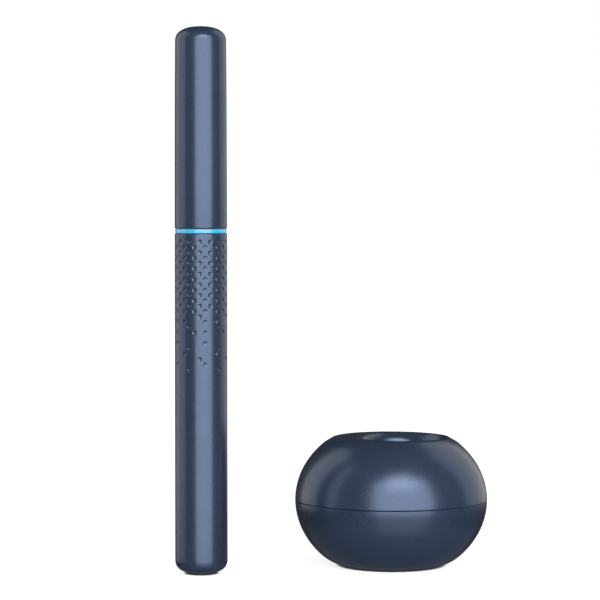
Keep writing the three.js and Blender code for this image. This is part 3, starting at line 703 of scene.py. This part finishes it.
def neck():
    """The collar that the cap slides over, with a groove for the O-ring, narrowing to the lens tube."""
    steps = 12
    narrow = 2.4
    wide = NECK_RADIUS - 0.4
    cone = []
    for step in range(steps + 1):
        rise = step / steps
        height = SHOULDER_TOP + 0.5 + (NECK_HIGH - 0.3 - SHOULDER_TOP - 0.5) * rise
        cone.append((narrow + (wide - narrow) * (1 - rise) ** 1.9, height))
    return on_pen([
        (NECK_BORE, NECK_LOW),
        (RING_BORE - 0.1, NECK_LOW),
        (RING_BORE - 0.1, RING_HIGH + PLAY),
        (NECK_RADIUS, RING_HIGH + PLAY, 0.1),
        (NECK_RADIUS, GROOVE_LOW, 0.08),
        (GROOVE_RADIUS, GROOVE_LOW, 0.1),
        (GROOVE_RADIUS, GROOVE_HIGH, 0.1),
        (NECK_RADIUS, GROOVE_HIGH, 0.08),
        (NECK_RADIUS, SHOULDER_TOP, 0.2),
        *cone,
        (narrow, NECK_HIGH, 0.15),
        (TUBE_RADIUS + PLAY, NECK_HIGH, 0.05),
        (TUBE_RADIUS + PLAY, SEAT),
        (NECK_BORE, SEAT - 1.1),
    ])


stand_for("neck", neck())


def o_ring():
    """A round-section seal in the neck's groove."""
    low, high = heights_of("cap_oring")
    section = (high - low) / 2
    middle = radius_of("cap_oring") - section
    height = (low + high) / 2
    steps = 20
    turns = (TAU * i / steps for i in range(steps))
    return on_pen([(middle + section * math.cos(a), height + section * math.sin(a)) for a in turns])


stand_for("cap_oring", o_ring())

# -------- pen: lens tube and camera

TUBE_BORE = TUBE_RADIUS - 0.35
BARREL_RADIUS = radius_of("lens_barrel")
BARREL_LOW = span("lens_barrel")[0].z
LENS_RADIUS = radius_of("front_lens")
GUIDE_LOW, GUIDE_HIGH = heights_of("light_guide")
LENS_LOW, LENS_HIGH = heights_of("front_lens")

LENS_TUBE = band(TUBE_BORE, TUBE_RADIUS, TUBE_LOW, TUBE_HIGH, 0.15, 0.08)
LIGHT_GUIDE = band(BARREL_RADIUS + PLAY, TUBE_BORE - PLAY, GUIDE_LOW, GUIDE_HIGH, 0.08, 0.05)
LENS_BARREL = band(LENS_RADIUS + PLAY, BARREL_RADIUS, BARREL_LOW, TUBE_HIGH, 0.06, 0.04)
stand_for("lens_tube", on_pen(LENS_TUBE, MEDIUM))
stand_for("light_guide", on_pen(LIGHT_GUIDE, MEDIUM))
stand_for("lens_barrel", on_pen(LENS_BARREL, MEDIUM))


def front_lens():
    """A small domed lens."""
    dome = [(radius, LENS_HIGH - 0.3 + height)
            for radius, height in superellipse(LENS_RADIUS, 0.3, 2, 8)]
    return on_pen([*dome, (LENS_RADIUS, LENS_LOW), (0, LENS_LOW)], SMALL)


stand_for("front_lens", front_lens())

# -------- soft ear tips

TIP_LENGTH = TIP_HIGH - TIP_LOW
TIP_BORE = TUBE_RADIUS + 0.1
TIP_OUTER = TIP_BORE + 0.45
SLEEVE_LENGTH = 7.0
SCOOP_WALL = (TIP_BORE + TIP_OUTER) / 2  # how far the scoop stands from the tip's axis
SCOOP_HALF_WIDTH = 1.25
SCOOP_HALF_THICKNESS = 0.19


def scoop_path():
    """The scoop's middle line: up along the tube, then curled over its end."""
    points = [(SCOOP_WALL, SLEEVE_LENGTH - 1.2 + i * 0.5) for i in range(8)]
    start = (SCOOP_WALL, SLEEVE_LENGTH + 2.8)
    corner = (SCOOP_WALL - 0.05, TIP_LENGTH - 0.2)
    end = (0.5, TIP_LENGTH - 0.2)
    steps = 12
    points += [bent(start, corner, end, step / steps) for step in range(1, steps + 1)]
    points += [(0.0, TIP_LENGTH - 0.35), (-0.4, TIP_LENGTH - 0.75)]
    return [Vector((x, 0, z)) for x, z in points]


def scoop_ring(point, outwards, progress):
    """A thin oval across the scoop, which hugs the tube and shrinks towards the spoon's end."""
    ease = min(1.0, (1 - progress) / 0.22) ** 0.5
    half_width = (SCOOP_HALF_WIDTH - 0.25 * progress) * max(ease, 0.35)
    half_thickness = SCOOP_HALF_THICKNESS * max(ease, 0.5)
    sides = 20
    ring = []
    for k in range(sides):
        angle = TAU * k / sides
        across = half_width * math.cos(angle)
        hug = (SCOOP_WALL - math.sqrt(SCOOP_WALL ** 2 - across ** 2)) * (1 - 0.6 * progress)
        offset = outwards * (half_thickness * math.sin(angle) - hug)
        ring.append(point + offset + Vector((0, across, 0)))
    return ring


def scoop():
    """A gouge that rises from the sleeve's +X side and ends as a small spoon over the lens."""
    path = scoop_path()
    last = len(path) - 1
    rings = [[path[0]]]
    for i, point in enumerate(path):
        along = (path[min(i + 1, last)] - path[max(i - 1, 0)]).normalized()
        outwards = along.cross(Vector((0, 1, 0))).normalized()
        rings.append(scoop_ring(point, outwards, i / last))
    rings.append([path[-1] + Vector((-0.12, 0, -0.1))])
    return loft(rings, loop=False)


def ear_tip():
    """A soft sleeve with a bead at its open end and a scoop on its other end."""
    sleeve = turned([
        (TIP_BORE, 0, 0.1),
        (TIP_OUTER, 0, 0.15),
        (TIP_OUTER, 0.9, 0.15),
        (TIP_OUTER - 0.12, 1.05, 0.1),
        (TIP_OUTER - 0.12, SLEEVE_LENGTH - 1.6),
        (TIP_OUTER - 0.2, SLEEVE_LENGTH, 0.15),
        (TIP_BORE, SLEEVE_LENGTH, 0.08),
    ], SMALL)
    return combined(sleeve, ("UNION", scoop()))


def tip_at(node, x, y, degrees=0):
    """The soft tip where its CAD node stands."""
    shape = placed(ear_tip(), (x, y, span(node)[0].z), spin=math.radians(degrees))
    stand_for(node, shape, sharp=50)


SPARE_CIRCLE = 15.8
SPARE_ANGLES = (60, 120, 225, 315)
tip_at("ear_tip", PEN_AXIS.x, PEN_AXIS.y)
for number, degrees in enumerate(SPARE_ANGLES, 1):
    tip_at(f"spare_tip_{number}", *around(SPARE_CIRCLE, degrees), degrees)

# -------- cap

CROWN_HEIGHT = 3.9
CROWN_RADIUS = 6.75
CROWN_POWER = 2.35
# How far the cap's side has drawn in at some heights.
CAP_SIDE = ((130.0, 0.10), (120.0, 0.06), (105.0, 0.02))
CAP_BORE = CAP_RADIUS - 0.86
BORE_TOP = CAP_HIGH - 4.7


def cap():
    crown = [(radius, CAP_HIGH - CROWN_HEIGHT + height)
             for radius, height in superellipse(CROWN_RADIUS, CROWN_HEIGHT, CROWN_POWER, 24)]
    return on_pen([
        *crown,
        *[(CAP_RADIUS - drawn_in, height) for height, drawn_in in CAP_SIDE],
        (CAP_RADIUS, RING_HIGH + PLAY, EDGE),
        (CAP_BORE, RING_HIGH + PLAY, 0.12),
        (CAP_BORE, BORE_TOP, 0.8),
        (5.6, CAP_HIGH - 2.3, 0.8),
        (4.0, CAP_HIGH - 1.3, 0.8),
        (0, CAP_HIGH - 1.0),
    ])


stand_for("cap_shell", cap())

LINER_LOW, LINER_HIGH = heights_of("cap_liner")
LINER_RADIUS = radius_of("cap_liner")
LINER_BORE = NECK_RADIUS + 0.35
MAGNET_LOW, MAGNET_HIGH = heights_of("cap_magnet")

stand_for("cap_liner", on_pen([
    (LINER_BORE, LINER_LOW, 0.1),
    (LINER_RADIUS, LINER_LOW),
    (LINER_RADIUS, BORE_TOP - 0.3, 0.5),
    (5.3, BORE_TOP + 2.1, 0.5),
    (3.9, BORE_TOP + 2.8, 0.5),
    (0, LINER_HIGH),
    (0, LINER_HIGH - 0.5),
    (3.6, BORE_TOP + 2.3, 0.5),
    (4.8, BORE_TOP + 1.6, 0.5),
    (LINER_BORE, BORE_TOP - 0.4, 0.5),
]))
stand_for("cap_magnet", on_pen([
    (LINER_BORE, MAGNET_LOW, 0.12),
    (LINER_RADIUS, MAGNET_LOW, 0.12),
    (LINER_RADIUS, MAGNET_HIGH, 0.12),
    (LINER_BORE, MAGNET_HIGH, 0.12),
]))

# -------- dock: upper shell

SEAM = (SEAM_LOW + DOCK_RIM) / 2
SEAM_GAP = 0.12  # the lid rests on the base, so only a fine line shows
SEAM_ROUND = 0.11  # how far up or down the side the seam's softened edges reach
LID_EDGE = SEAM + SEAM_GAP / 2
BASE_EDGE = SEAM - SEAM_GAP / 2
UPPER_RISE = 21.75
LOWER_RISE = 21.85
WALL = 1.7
CRATER_RADIUS = 12.5
CRATER_OFFSET = 3.0
FUNNEL_RADIUS = 7.75
FUNNEL_WALL = 1.4
CUP_HEIGHT = 13.0
# The crater's radius at some depths below the lip.
BOWL = (
    (12.3, 0.1), (11.55, 0.75), (10.95, 1.5), (10.6, 2.4),
    (10.3, 3.5), (9.7, 4.9), (8.7, 6.3), (FUNNEL_RADIUS, 7.6),
)
SKIRT_OUTER = 23.75
SKIRT_INNER = 22.7
SKIRT_LOW = span("dock_upper_shell")[0].z
LIP_EDGE = 15.1  # where the flat lip round the crater rolls over into the side
LIP_REACH = (DOCK_HIGH - WELL_FLOOR.z) / math.cos(WELL_LEAN)  # from floor to lip, along the well


def ellipse(radius, rise, low, high, steps):
    """Points of an ellipse about the seam, between two heights above it."""
    first = math.asin(low / rise)
    last = math.asin(high / rise)
    angles = (first + (last - first) * i / steps for i in range(steps + 1))
    return [(radius * math.cos(a), SEAM + rise * math.sin(a)) for a in angles]


def smooth(points, count):
    """Evenly spaced points of a smooth curve through the given ones."""
    points = [Vector(point) for point in points]
    points = [2 * points[0] - points[1], *points, 2 * points[-1] - points[-2]]
    curve = []
    for i in range(count + 1):
        along = i / count * (len(points) - 3)
        first = min(int(along), len(points) - 4)
        a, b, c, d = points[first:first + 4]
        t = along - first
        curve.append(tuple(0.5 * (2 * b + (c - a) * t + (2 * a - 5 * b + 4 * c - d) * t ** 2
                                  + (3 * b - a - 3 * c + d) * t ** 3)))
    return curve


def well_ring(radius, height):
    """A ring square to the well's leaning axis, at a height along that axis above the well's floor."""
    lean = Matrix.Rotation(WELL_LEAN, 4, "Y")
    return [WELL_FLOOR + lean @ point for point in circle(radius, height)]


def crater():
    """Rings from the lip down the crater's bowl, which turns from level to the well's own lean."""
    rings = []
    for radius, below in smooth(BOWL, 28):
        leaned = well_ring(radius, LIP_REACH - below)
        level = circle(radius, DOCK_HIGH - below, centre=CRATER_OFFSET)
        blend = min(1.0, below / 3)
        rings.append([a.lerp(b, blend) for a, b in zip(level, leaned)])
    return rings


def upper_shell():
    """A half ball with a flat lip, an off-centre crater and the funnel that leads down to the cup."""
    top = DOCK_HIGH - SEAM
    shoulder = 1.5
    side = ellipse(DOCK_RADIUS, UPPER_RISE, SEAM_GAP / 2 + SEAM_ROUND, top - shoulder, 30)
    roll = rounded([side[-1], (LIP_EDGE + 0.6, DOCK_HIGH, 2.4), (LIP_EDGE - 1.2, DOCK_HIGH)])[1:-1]
    outside = [circle(*point) for point in side + roll]
    lip = [
        circle(CRATER_RADIUS + 0.15, DOCK_HIGH, centre=CRATER_OFFSET),
        circle(CRATER_RADIUS, DOCK_HIGH - 0.02, centre=CRATER_OFFSET),
    ]
    inside = ellipse(DOCK_RADIUS - WALL, UPPER_RISE - WALL, 2.4, top - WALL - 0.4, 16)
    foot = CUP_HEIGHT + 0.3
    # The hidden back of the bowl: its radius at some depths below the lip.
    bowl_back = [(CRATER_RADIUS - 0.6, 3.6), (11.0, 5.4), (9.6, 7.6)]
    return loft([
        *outside,
        *lip,
        *crater(),
        well_ring(FUNNEL_RADIUS, foot + 0.1),
        well_ring(FUNNEL_RADIUS + 0.1, foot),
        well_ring(FUNNEL_RADIUS + FUNNEL_WALL, foot),
        *[well_ring(radius, LIP_REACH - below) for radius, below in reversed(bowl_back)],
        circle(13.6, DOCK_HIGH - WALL, centre=1.0),
        *[circle(*point) for point in reversed(inside)],
        circle(SKIRT_INNER, SEAM + 1.7),
        circle(SKIRT_INNER, SKIRT_LOW + 0.1),
        circle(SKIRT_INNER + 0.1, SKIRT_LOW),
        circle(SKIRT_OUTER - 0.2, SKIRT_LOW),
        circle(SKIRT_OUTER, SKIRT_LOW + 0.2),
        circle(SKIRT_OUTER, LID_EDGE),
        circle(DOCK_RADIUS - 0.2, LID_EDGE),
        circle(DOCK_RADIUS - 0.06, LID_EDGE + 0.04),
    ])


stand_for("dock_upper_shell", upper_shell(), sharp=38)

# -------- dock: lower shell and foot

FOOT_PAD_RADIUS = radius_of("foot_pad")
FOOT_EDGE = 13.0  # where the flat underside ends
FOOT_ROLL = 3.6  # the height at which the underside's rounding meets the side
PAD_TOP = span("foot_pad")[1].z
DOCK_FLOOR = 2.6
SOCKET_LOW, SOCKET_HIGH = heights_of("usb_socket")
PORT_Z = (SOCKET_LOW + SOCKET_HIGH) / 2
PORT_FACE = MOUNTS["usb_face"]["pos_m"][1] / MM
PORT_HALF_WIDTH = 5.9
PORT_HALF_HEIGHT = 2.5
SOCKET_HALF_WIDTH = radius_of("usb_socket")
SOCKET_HALF_HEIGHT = (SOCKET_HIGH - SOCKET_LOW) / 2


def slot_prism(half_width, half_height, near, far):
    """A solid slot along Y at the socket's height."""
    return placed(prism(slot_outline(half_width, half_height), near, far), (0, 0, PORT_Z))


def port_chamfer():
    """A cutter that widens towards the back, for the soft edge of the socket's recess."""
    sides = (
        (PORT_HALF_WIDTH - 0.1, PORT_HALF_HEIGHT - 0.1, DOCK_RADIUS - 6.0),
        (PORT_HALF_WIDTH + 1.5, PORT_HALF_HEIGHT + 1.5, DOCK_RADIUS + 0.4),
    )
    rings = []
    for half_width, half_height, depth in sides:
        outline = slot_outline(half_width, half_height)
        rings.append([Vector((across, depth, PORT_Z + up)) for across, up in outline])
    ends = [[sum(ring, Vector()) / len(ring)] for ring in rings]
    return loft([ends[0], *rings, ends[1]], loop=False)


def foot_rounding(radius, height, steps):
    """Points from the flat underside's edge up to the side, which they meet without a kink."""
    slope = (DOCK_RADIUS / LOWER_RISE) ** 2 * (SEAM - height) / radius
    start = (FOOT_EDGE, DOCK_LOW)
    corner = (radius - slope * (height - DOCK_LOW), DOCK_LOW)
    return [bent(start, corner, (radius, height), i / steps) for i in range(steps)]


def lower_shell():
    """The lower bowl, with the recess for the charging plug cut in its back."""
    outside = ellipse(DOCK_RADIUS, LOWER_RISE, FOOT_ROLL - SEAM, -SEAM_GAP / 2 - SEAM_ROUND, 24)
    inside = ellipse(DOCK_RADIUS - WALL, LOWER_RISE - WALL, DOCK_FLOOR - SEAM, -SEAM_GAP / 2, 14)
    skin = [
        (FOOT_PAD_RADIUS + PLAY, DOCK_LOW, 0.1),
        *foot_rounding(*outside[0], 10),
        *outside,
        (DOCK_RADIUS - 0.06, BASE_EDGE - 0.04),
        (DOCK_RADIUS - 0.2, BASE_EDGE),
    ]
    bowl = turned([
        (0, PAD_TOP + PLAY),
        (FOOT_PAD_RADIUS + PLAY, PAD_TOP + PLAY),
        *skin,
        *reversed(inside),
        (0, DOCK_FLOOR),
    ])
    ball = turned([(0, DOCK_LOW + 0.5), *skin[1:], (0, BASE_EDGE)])
    backing = combined(
        box((-7.4, PORT_FACE - 3, DOCK_FLOOR - 0.5), (7.4, DOCK_RADIUS, DECK_LOW - 0.3)),
        ("INTERSECT", ball),
    )
    socket_hole = (SOCKET_HALF_WIDTH + 0.1, SOCKET_HALF_HEIGHT + 0.1)
    return combined(
        bowl,
        ("UNION", backing),
        ("DIFFERENCE", slot_prism(PORT_HALF_WIDTH, PORT_HALF_HEIGHT, PORT_FACE, DOCK_RADIUS + 1)),
        ("DIFFERENCE", port_chamfer()),
        ("DIFFERENCE", slot_prism(*socket_hole, PORT_FACE - 4, PORT_FACE + 1)),
    )


stand_for("dock_lower_shell", lower_shell(), sharp=25)


def foot_pad():
    """A rubber disc with shallow rings moulded in its underside."""
    outline = [(0, 0)]
    for radius in (3.0, 6.0, 9.0):
        outline += [(radius, 0), (radius + 0.2, 0.18), (radius + 0.6, 0.18), (radius + 0.8, 0)]
    outline += [(FOOT_PAD_RADIUS, 0, 0.3), (FOOT_PAD_RADIUS, PAD_TOP), (0, PAD_TOP)]
    return turned(outline)


stand_for("foot_pad", foot_pad())

# -------- dock: charging socket

SOCKET_WALL = 0.3
SOCKET_BACK = span("usb_socket")[0].y
SOCKET_MOUTH = span("usb_socket")[1].y
TONGUE_LOW, TONGUE_HIGH = span("usb_tongue")


def usb_socket():
    """A metal shell that is open towards the back of the dock."""
    inner = (SOCKET_HALF_WIDTH - SOCKET_WALL, SOCKET_HALF_HEIGHT - SOCKET_WALL)
    return combined(
        slot_prism(SOCKET_HALF_WIDTH, SOCKET_HALF_HEIGHT, SOCKET_BACK, SOCKET_MOUTH),
        ("DIFFERENCE", slot_prism(*inner, SOCKET_BACK + 0.6, SOCKET_MOUTH + 1)),
    )


stand_for("usb_socket", usb_socket())
stand_for("usb_tongue", box(TONGUE_LOW, TONGUE_HIGH, 0.12))


def tongue_contacts(side):
    """A row of contact strips on one face of the socket's tongue."""
    strips = bmesh.new()
    face = TONGUE_HIGH.z if side > 0 else TONGUE_LOW.z
    pitch = 0.5
    count = 12
    for i in range(count):
        middle = (i - (count - 1) / 2) * pitch
        low = Vector((middle - 0.14, TONGUE_LOW.y + 1.0, face - 0.03))
        high = Vector((middle + 0.14, TONGUE_HIGH.y - 0.35, face + 0.03))
        add_box(strips, low, high)
    return strips


for label, side in (("upper", 1), ("lower", -1)):
    make(f"usb_contacts_{label}", tongue_contacts(side), "dock_base", MATERIALS["gold"], [])

# -------- dock: charging cup and its pins

WELL_RADIUS = 7.55
CUP_RADIUS = 9.0
FLANGE_RADIUS = 10.4
DECK_TOP = DECK_LOW + 1.5
PIN_HOLE = 1.0
OUTER_PIN = (RAIL_INNER + RAIL_OUTER) / 2
PIN_PLACES = {"centre": 0.0, "outer": OUTER_PIN}


def pin_hole(x):
    """A cutter for a contact pin's hole, with a small countersink."""
    return in_well(turned([
        (0, -3),
        (PIN_HOLE, -3),
        (PIN_HOLE, -0.2),
        (PIN_HOLE + 0.35, 0.15),
        (PIN_HOLE + 0.35, 1),
        (0, 1),
    ], SMALL), x)


def charging_cup():
    """The leaning cup for the pen's tail, with a flange that rests on the storage deck."""
    wall = in_well(turned(disc(CUP_RADIUS, -1.5, CUP_HEIGHT, 0, 0.3)))
    flange = turned(disc(FLANGE_RADIUS, DECK_TOP + 0.1, DECK_TOP + 1.3, 0, 0.3))
    bore = in_well(turned([
        (0, 0),
        (WELL_RADIUS, 0, 1.6),
        (WELL_RADIUS, CUP_HEIGHT - 0.5),
        (WELL_RADIUS + 0.6, CUP_HEIGHT + 0.2),
        (WELL_RADIUS + 0.6, CUP_HEIGHT + 1),
        (0, CUP_HEIGHT + 1),
    ]))
    holes = [("DIFFERENCE", pin_hole(x)) for x in PIN_PLACES.values()]
    return combined(wall, ("UNION", flange), ("DIFFERENCE", bore), *holes)


stand_for("charging_cup", charging_cup())
for label, x in PIN_PLACES.items():
    stand_for(f"pin_barrel_{label}", in_well(turned([
        (0, -4.9),
        (0.85, -4.9, 0.1),
        (0.85, -0.1, 0.1),
        (0.6, -0.1, 0.05),
        (0.6, -4.4),
        (0, -4.4),
    ], SMALL), x))
    stand_for(f"pin_plunger_{label}", in_well(turned([
        (0, -2.9),
        (0.5, -2.9),
        (0.5, 0.75, 0.3),
        (0.25, 0.98, 0.2),
        (0, 1.0),
    ], SMALL), x))

# -------- dock: storage deck and screws

POST_RADIUS = 1.65
POST_HEIGHT = 3.0
BOSS_CIRCLE = 17.0
BOSS_ANGLES = (270, 30, 150)


def storage_deck():
    """The tray under the lid: a plate with a post for each spare tip and sunk screw holes."""
    plate = turned(disc(DECK_RADIUS, DECK_LOW, DECK_TOP, 0.2, 0.35))
    steps = []
    for degrees in SPARE_ANGLES:
        x, y = around(SPARE_CIRCLE, degrees)
        saucer = turned([
            (0, DECK_TOP - 0.26),
            (2.9, DECK_TOP - 0.26),
            (3.3, DECK_TOP + 0.15),
            (0, DECK_TOP + 0.15),
        ], MEDIUM)
        post = turned(disc(POST_RADIUS, DECK_TOP - 0.6, DECK_TOP + POST_HEIGHT, 0, 0.5), SMALL)
        steps.append(("DIFFERENCE", placed(saucer, (x, y, 0))))
        steps.append(("UNION", placed(post, (x, y, 0))))
    for degrees in BOSS_ANGLES:
        x, y = around(BOSS_CIRCLE, degrees)
        hole = turned([
            (0, DECK_LOW - 1),
            (1.15, DECK_LOW - 1),
            (1.15, DECK_TOP - 0.7),
            (2.1, DECK_TOP - 0.7),
            (2.1, DECK_TOP - 0.1),
            (2.4, DECK_TOP + 0.2),
            (0, DECK_TOP + 0.2),
        ], SMALL)
        steps.append(("DIFFERENCE", placed(hole, (x, y, 0))))
    cup_hole = in_well(turned(disc(CUP_RADIUS + 0.3, -6, 6)))
    return combined(plate, ("DIFFERENCE", cup_hole), *steps)


stand_for("storage_deck", storage_deck())


def screw():
    """A pan-head screw whose head's underside is at the origin."""
    body = turned([
        (0, -4.6),
        (0.45, -4.6),
        (0.7, -4.0),
        (0.7, 0),
        (1.8, 0, 0.1),
        (1.75, 0.7, 0.4),
        (1.0, 1.02, 0.5),
        (0, 1.05),
    ], SMALL)
    arms = [placed(box((-1.1, -0.2, 0.45), (1.1, 0.2, 2)), spin=turn) for turn in (0.4, 1.97)]
    return combined(body, *[("DIFFERENCE", arm) for arm in arms])


for number, degrees in enumerate(BOSS_ANGLES, 1):
    x, y = around(BOSS_CIRCLE, degrees)
    stand_for(f"deck_screw_{number}", placed(screw(), (x, y, DECK_TOP - 0.65), spin=number * 1.1))

# -------- pieces that keep their CAD shape

REPLACED = {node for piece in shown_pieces() for node in piece.get("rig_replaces", [])}
for node, holder in frame["nodes"].items():
    if node not in REPLACED:
        holder.data.materials.clear()
        holder.data.materials.append(MATERIALS[SLOT_OF[node]])

# -------- stage, light and camera

SOFT_WHITE = (1, 1, 0.96)
WARM_WHITE = (1, 0.96, 0.84)


def stage_material():
    """Pale paper: mostly self-lit, so that it stays even, with a painted contact shadow where the
    object nearly touches it.
    """
    surface = Surface("pale_paper", (0.60, 0.60, 0.61), 0.9)
    surface.tint(surface.noise(0.8, 4), (0.58, 0.58, 0.59), (0.62, 0.62, 0.63))
    surface.shader.inputs["Emission Color"].default_value = (1, 1, 1, 1)
    distance = surface.node("ShaderNodeVectorMath", operation="LENGTH")
    surface.link(surface.place, distance.inputs[0])
    soft = {"interpolation_type": "SMOOTHSTEP"}
    fade = surface.spread(distance.outputs["Value"], 0.15, 1.2, 0.78, 1.0, **soft)  # from metres
    # Painted contact shadow: ambient occlusion within 0.9 mm dims the paper's glow where the object
    # nearly touches it.
    painted_shadow_probe = surface.node("ShaderNodeAmbientOcclusion", samples=16)
    painted_shadow_probe.inputs["Distance"].default_value = 0.9 * MM
    contact = surface.spread(painted_shadow_probe.outputs["AO"], 0.2, 0.55, 0.0, 1.0, **soft)
    # The paper's glow, cut by the painted contact shadow.
    glow = surface.node("ShaderNodeMath", operation="MULTIPLY")
    surface.link(fade, glow.inputs[0])
    surface.link(contact, glow.inputs[1])
    surface.link(glow.outputs["Value"], surface.shader.inputs["Emission Strength"])
    return surface.material


def floor():
    """A sheet of paper that neither lights the object nor shows in its gloss."""
    half_width = 6000
    shape = bmesh.new()
    bmesh.ops.create_grid(shape, x_segments=1, y_segments=1, size=half_width)
    shape.transform(Matrix.Scale(MM, 4))
    plane = object_of(shape, "floor")
    plane.location.z = -0.02 * MM
    plane.data.materials.append(stage_material())
    plane.visible_glossy = False
    plane.visible_diffuse = False
    plane.visible_shadow = False


def area_light(name, width, power):
    light = bpy.data.lights.new(name, "AREA")
    light.size = width * MM
    light.energy = power
    holder = bpy.data.objects.new(name, light)
    bpy.context.scene.collection.objects.link(holder)
    return holder


def softbox(name, azimuth, middle, distance, width, height, power, color):
    """An upright light that faces the set: azimuth from the front, towards +X, and middle's height."""
    holder = area_light(name, width, power)
    holder.data.shape = "RECTANGLE"
    holder.data.size_y = height * MM
    holder.data.color = color
    turn = math.radians(azimuth)
    away = Vector((math.sin(turn), -math.cos(turn), 0))
    holder.location = (Vector((-20, 0, middle)) + away * distance) * MM
    holder.rotation_euler = (-away).to_track_quat("-Z", "Y").to_euler()


def bounce():
    """Light that a white table would throw back up."""
    holder = area_light("bounce", 1500, 0.9)
    holder.location = (0, 0, -400 * MM)
    holder.rotation_euler = (math.pi, 0, 0)


def world():
    """White to the camera; a dim studio to everything else."""
    space = bpy.data.worlds.new("studio")
    space.use_nodes = True
    tree = space.node_tree
    dim = tree.nodes["Background"]
    dim.inputs["Color"].default_value = (0.80, 0.86, 1.0, 1)
    dim.inputs["Strength"].default_value = 0.05
    bright = tree.nodes.new("ShaderNodeBackground")
    bright.inputs["Color"].default_value = (1, 1, 1, 1)
    bright.inputs["Strength"].default_value = 1.0
    seen = tree.nodes.new("ShaderNodeLightPath")
    mix = tree.nodes.new("ShaderNodeMixShader")
    tree.links.new(seen.outputs["Is Camera Ray"], mix.inputs["Fac"])
    tree.links.new(dim.outputs["Background"], mix.inputs[1])
    tree.links.new(bright.outputs["Background"], mix.inputs[2])
    tree.links.new(mix.outputs["Shader"], tree.nodes["World Output"].inputs["Surface"])
    bpy.context.scene.world = space


def camera():
    """A long lens in front of the pen, a little above the light ring, turned down to mid-height."""
    distance = 650
    aside = 26.32  # how far it stands to the right of the pen
    height = 100
    aim = 73
    lens = bpy.data.cameras.new("camera")
    lens.lens = 146.8
    lens.sensor_width = 36
    lens.clip_start = 0.01
    lens.clip_end = 20
    holder = bpy.data.objects.new("camera", lens)
    bpy.context.scene.collection.objects.link(holder)
    holder.location = (PEN_AXIS + Vector((aside, -distance, height))) * MM
    holder.rotation_euler = (math.pi / 2 - math.atan((height - aim) / distance), 0, 0)
    bpy.context.scene.camera = holder


floor()
world()
camera()
softbox("key", 13, 365, 900, 1330, 1130, 16.5, SOFT_WHITE)
softbox("key_top", 13, 860, 890, 660, 700, 4.4, SOFT_WHITE)
softbox("key_foot", 13, -550, 900, 1150, 700, 1.5, SOFT_WHITE)
softbox("left", -104, 600, 900, 1170, 1500, 6.5, WARM_WHITE)
softbox("right", 126, 680, 900, 1000, 1550, 4.6, WARM_WHITE)
bounce()
bpy.context.scene.view_settings.view_transform = "Standard"
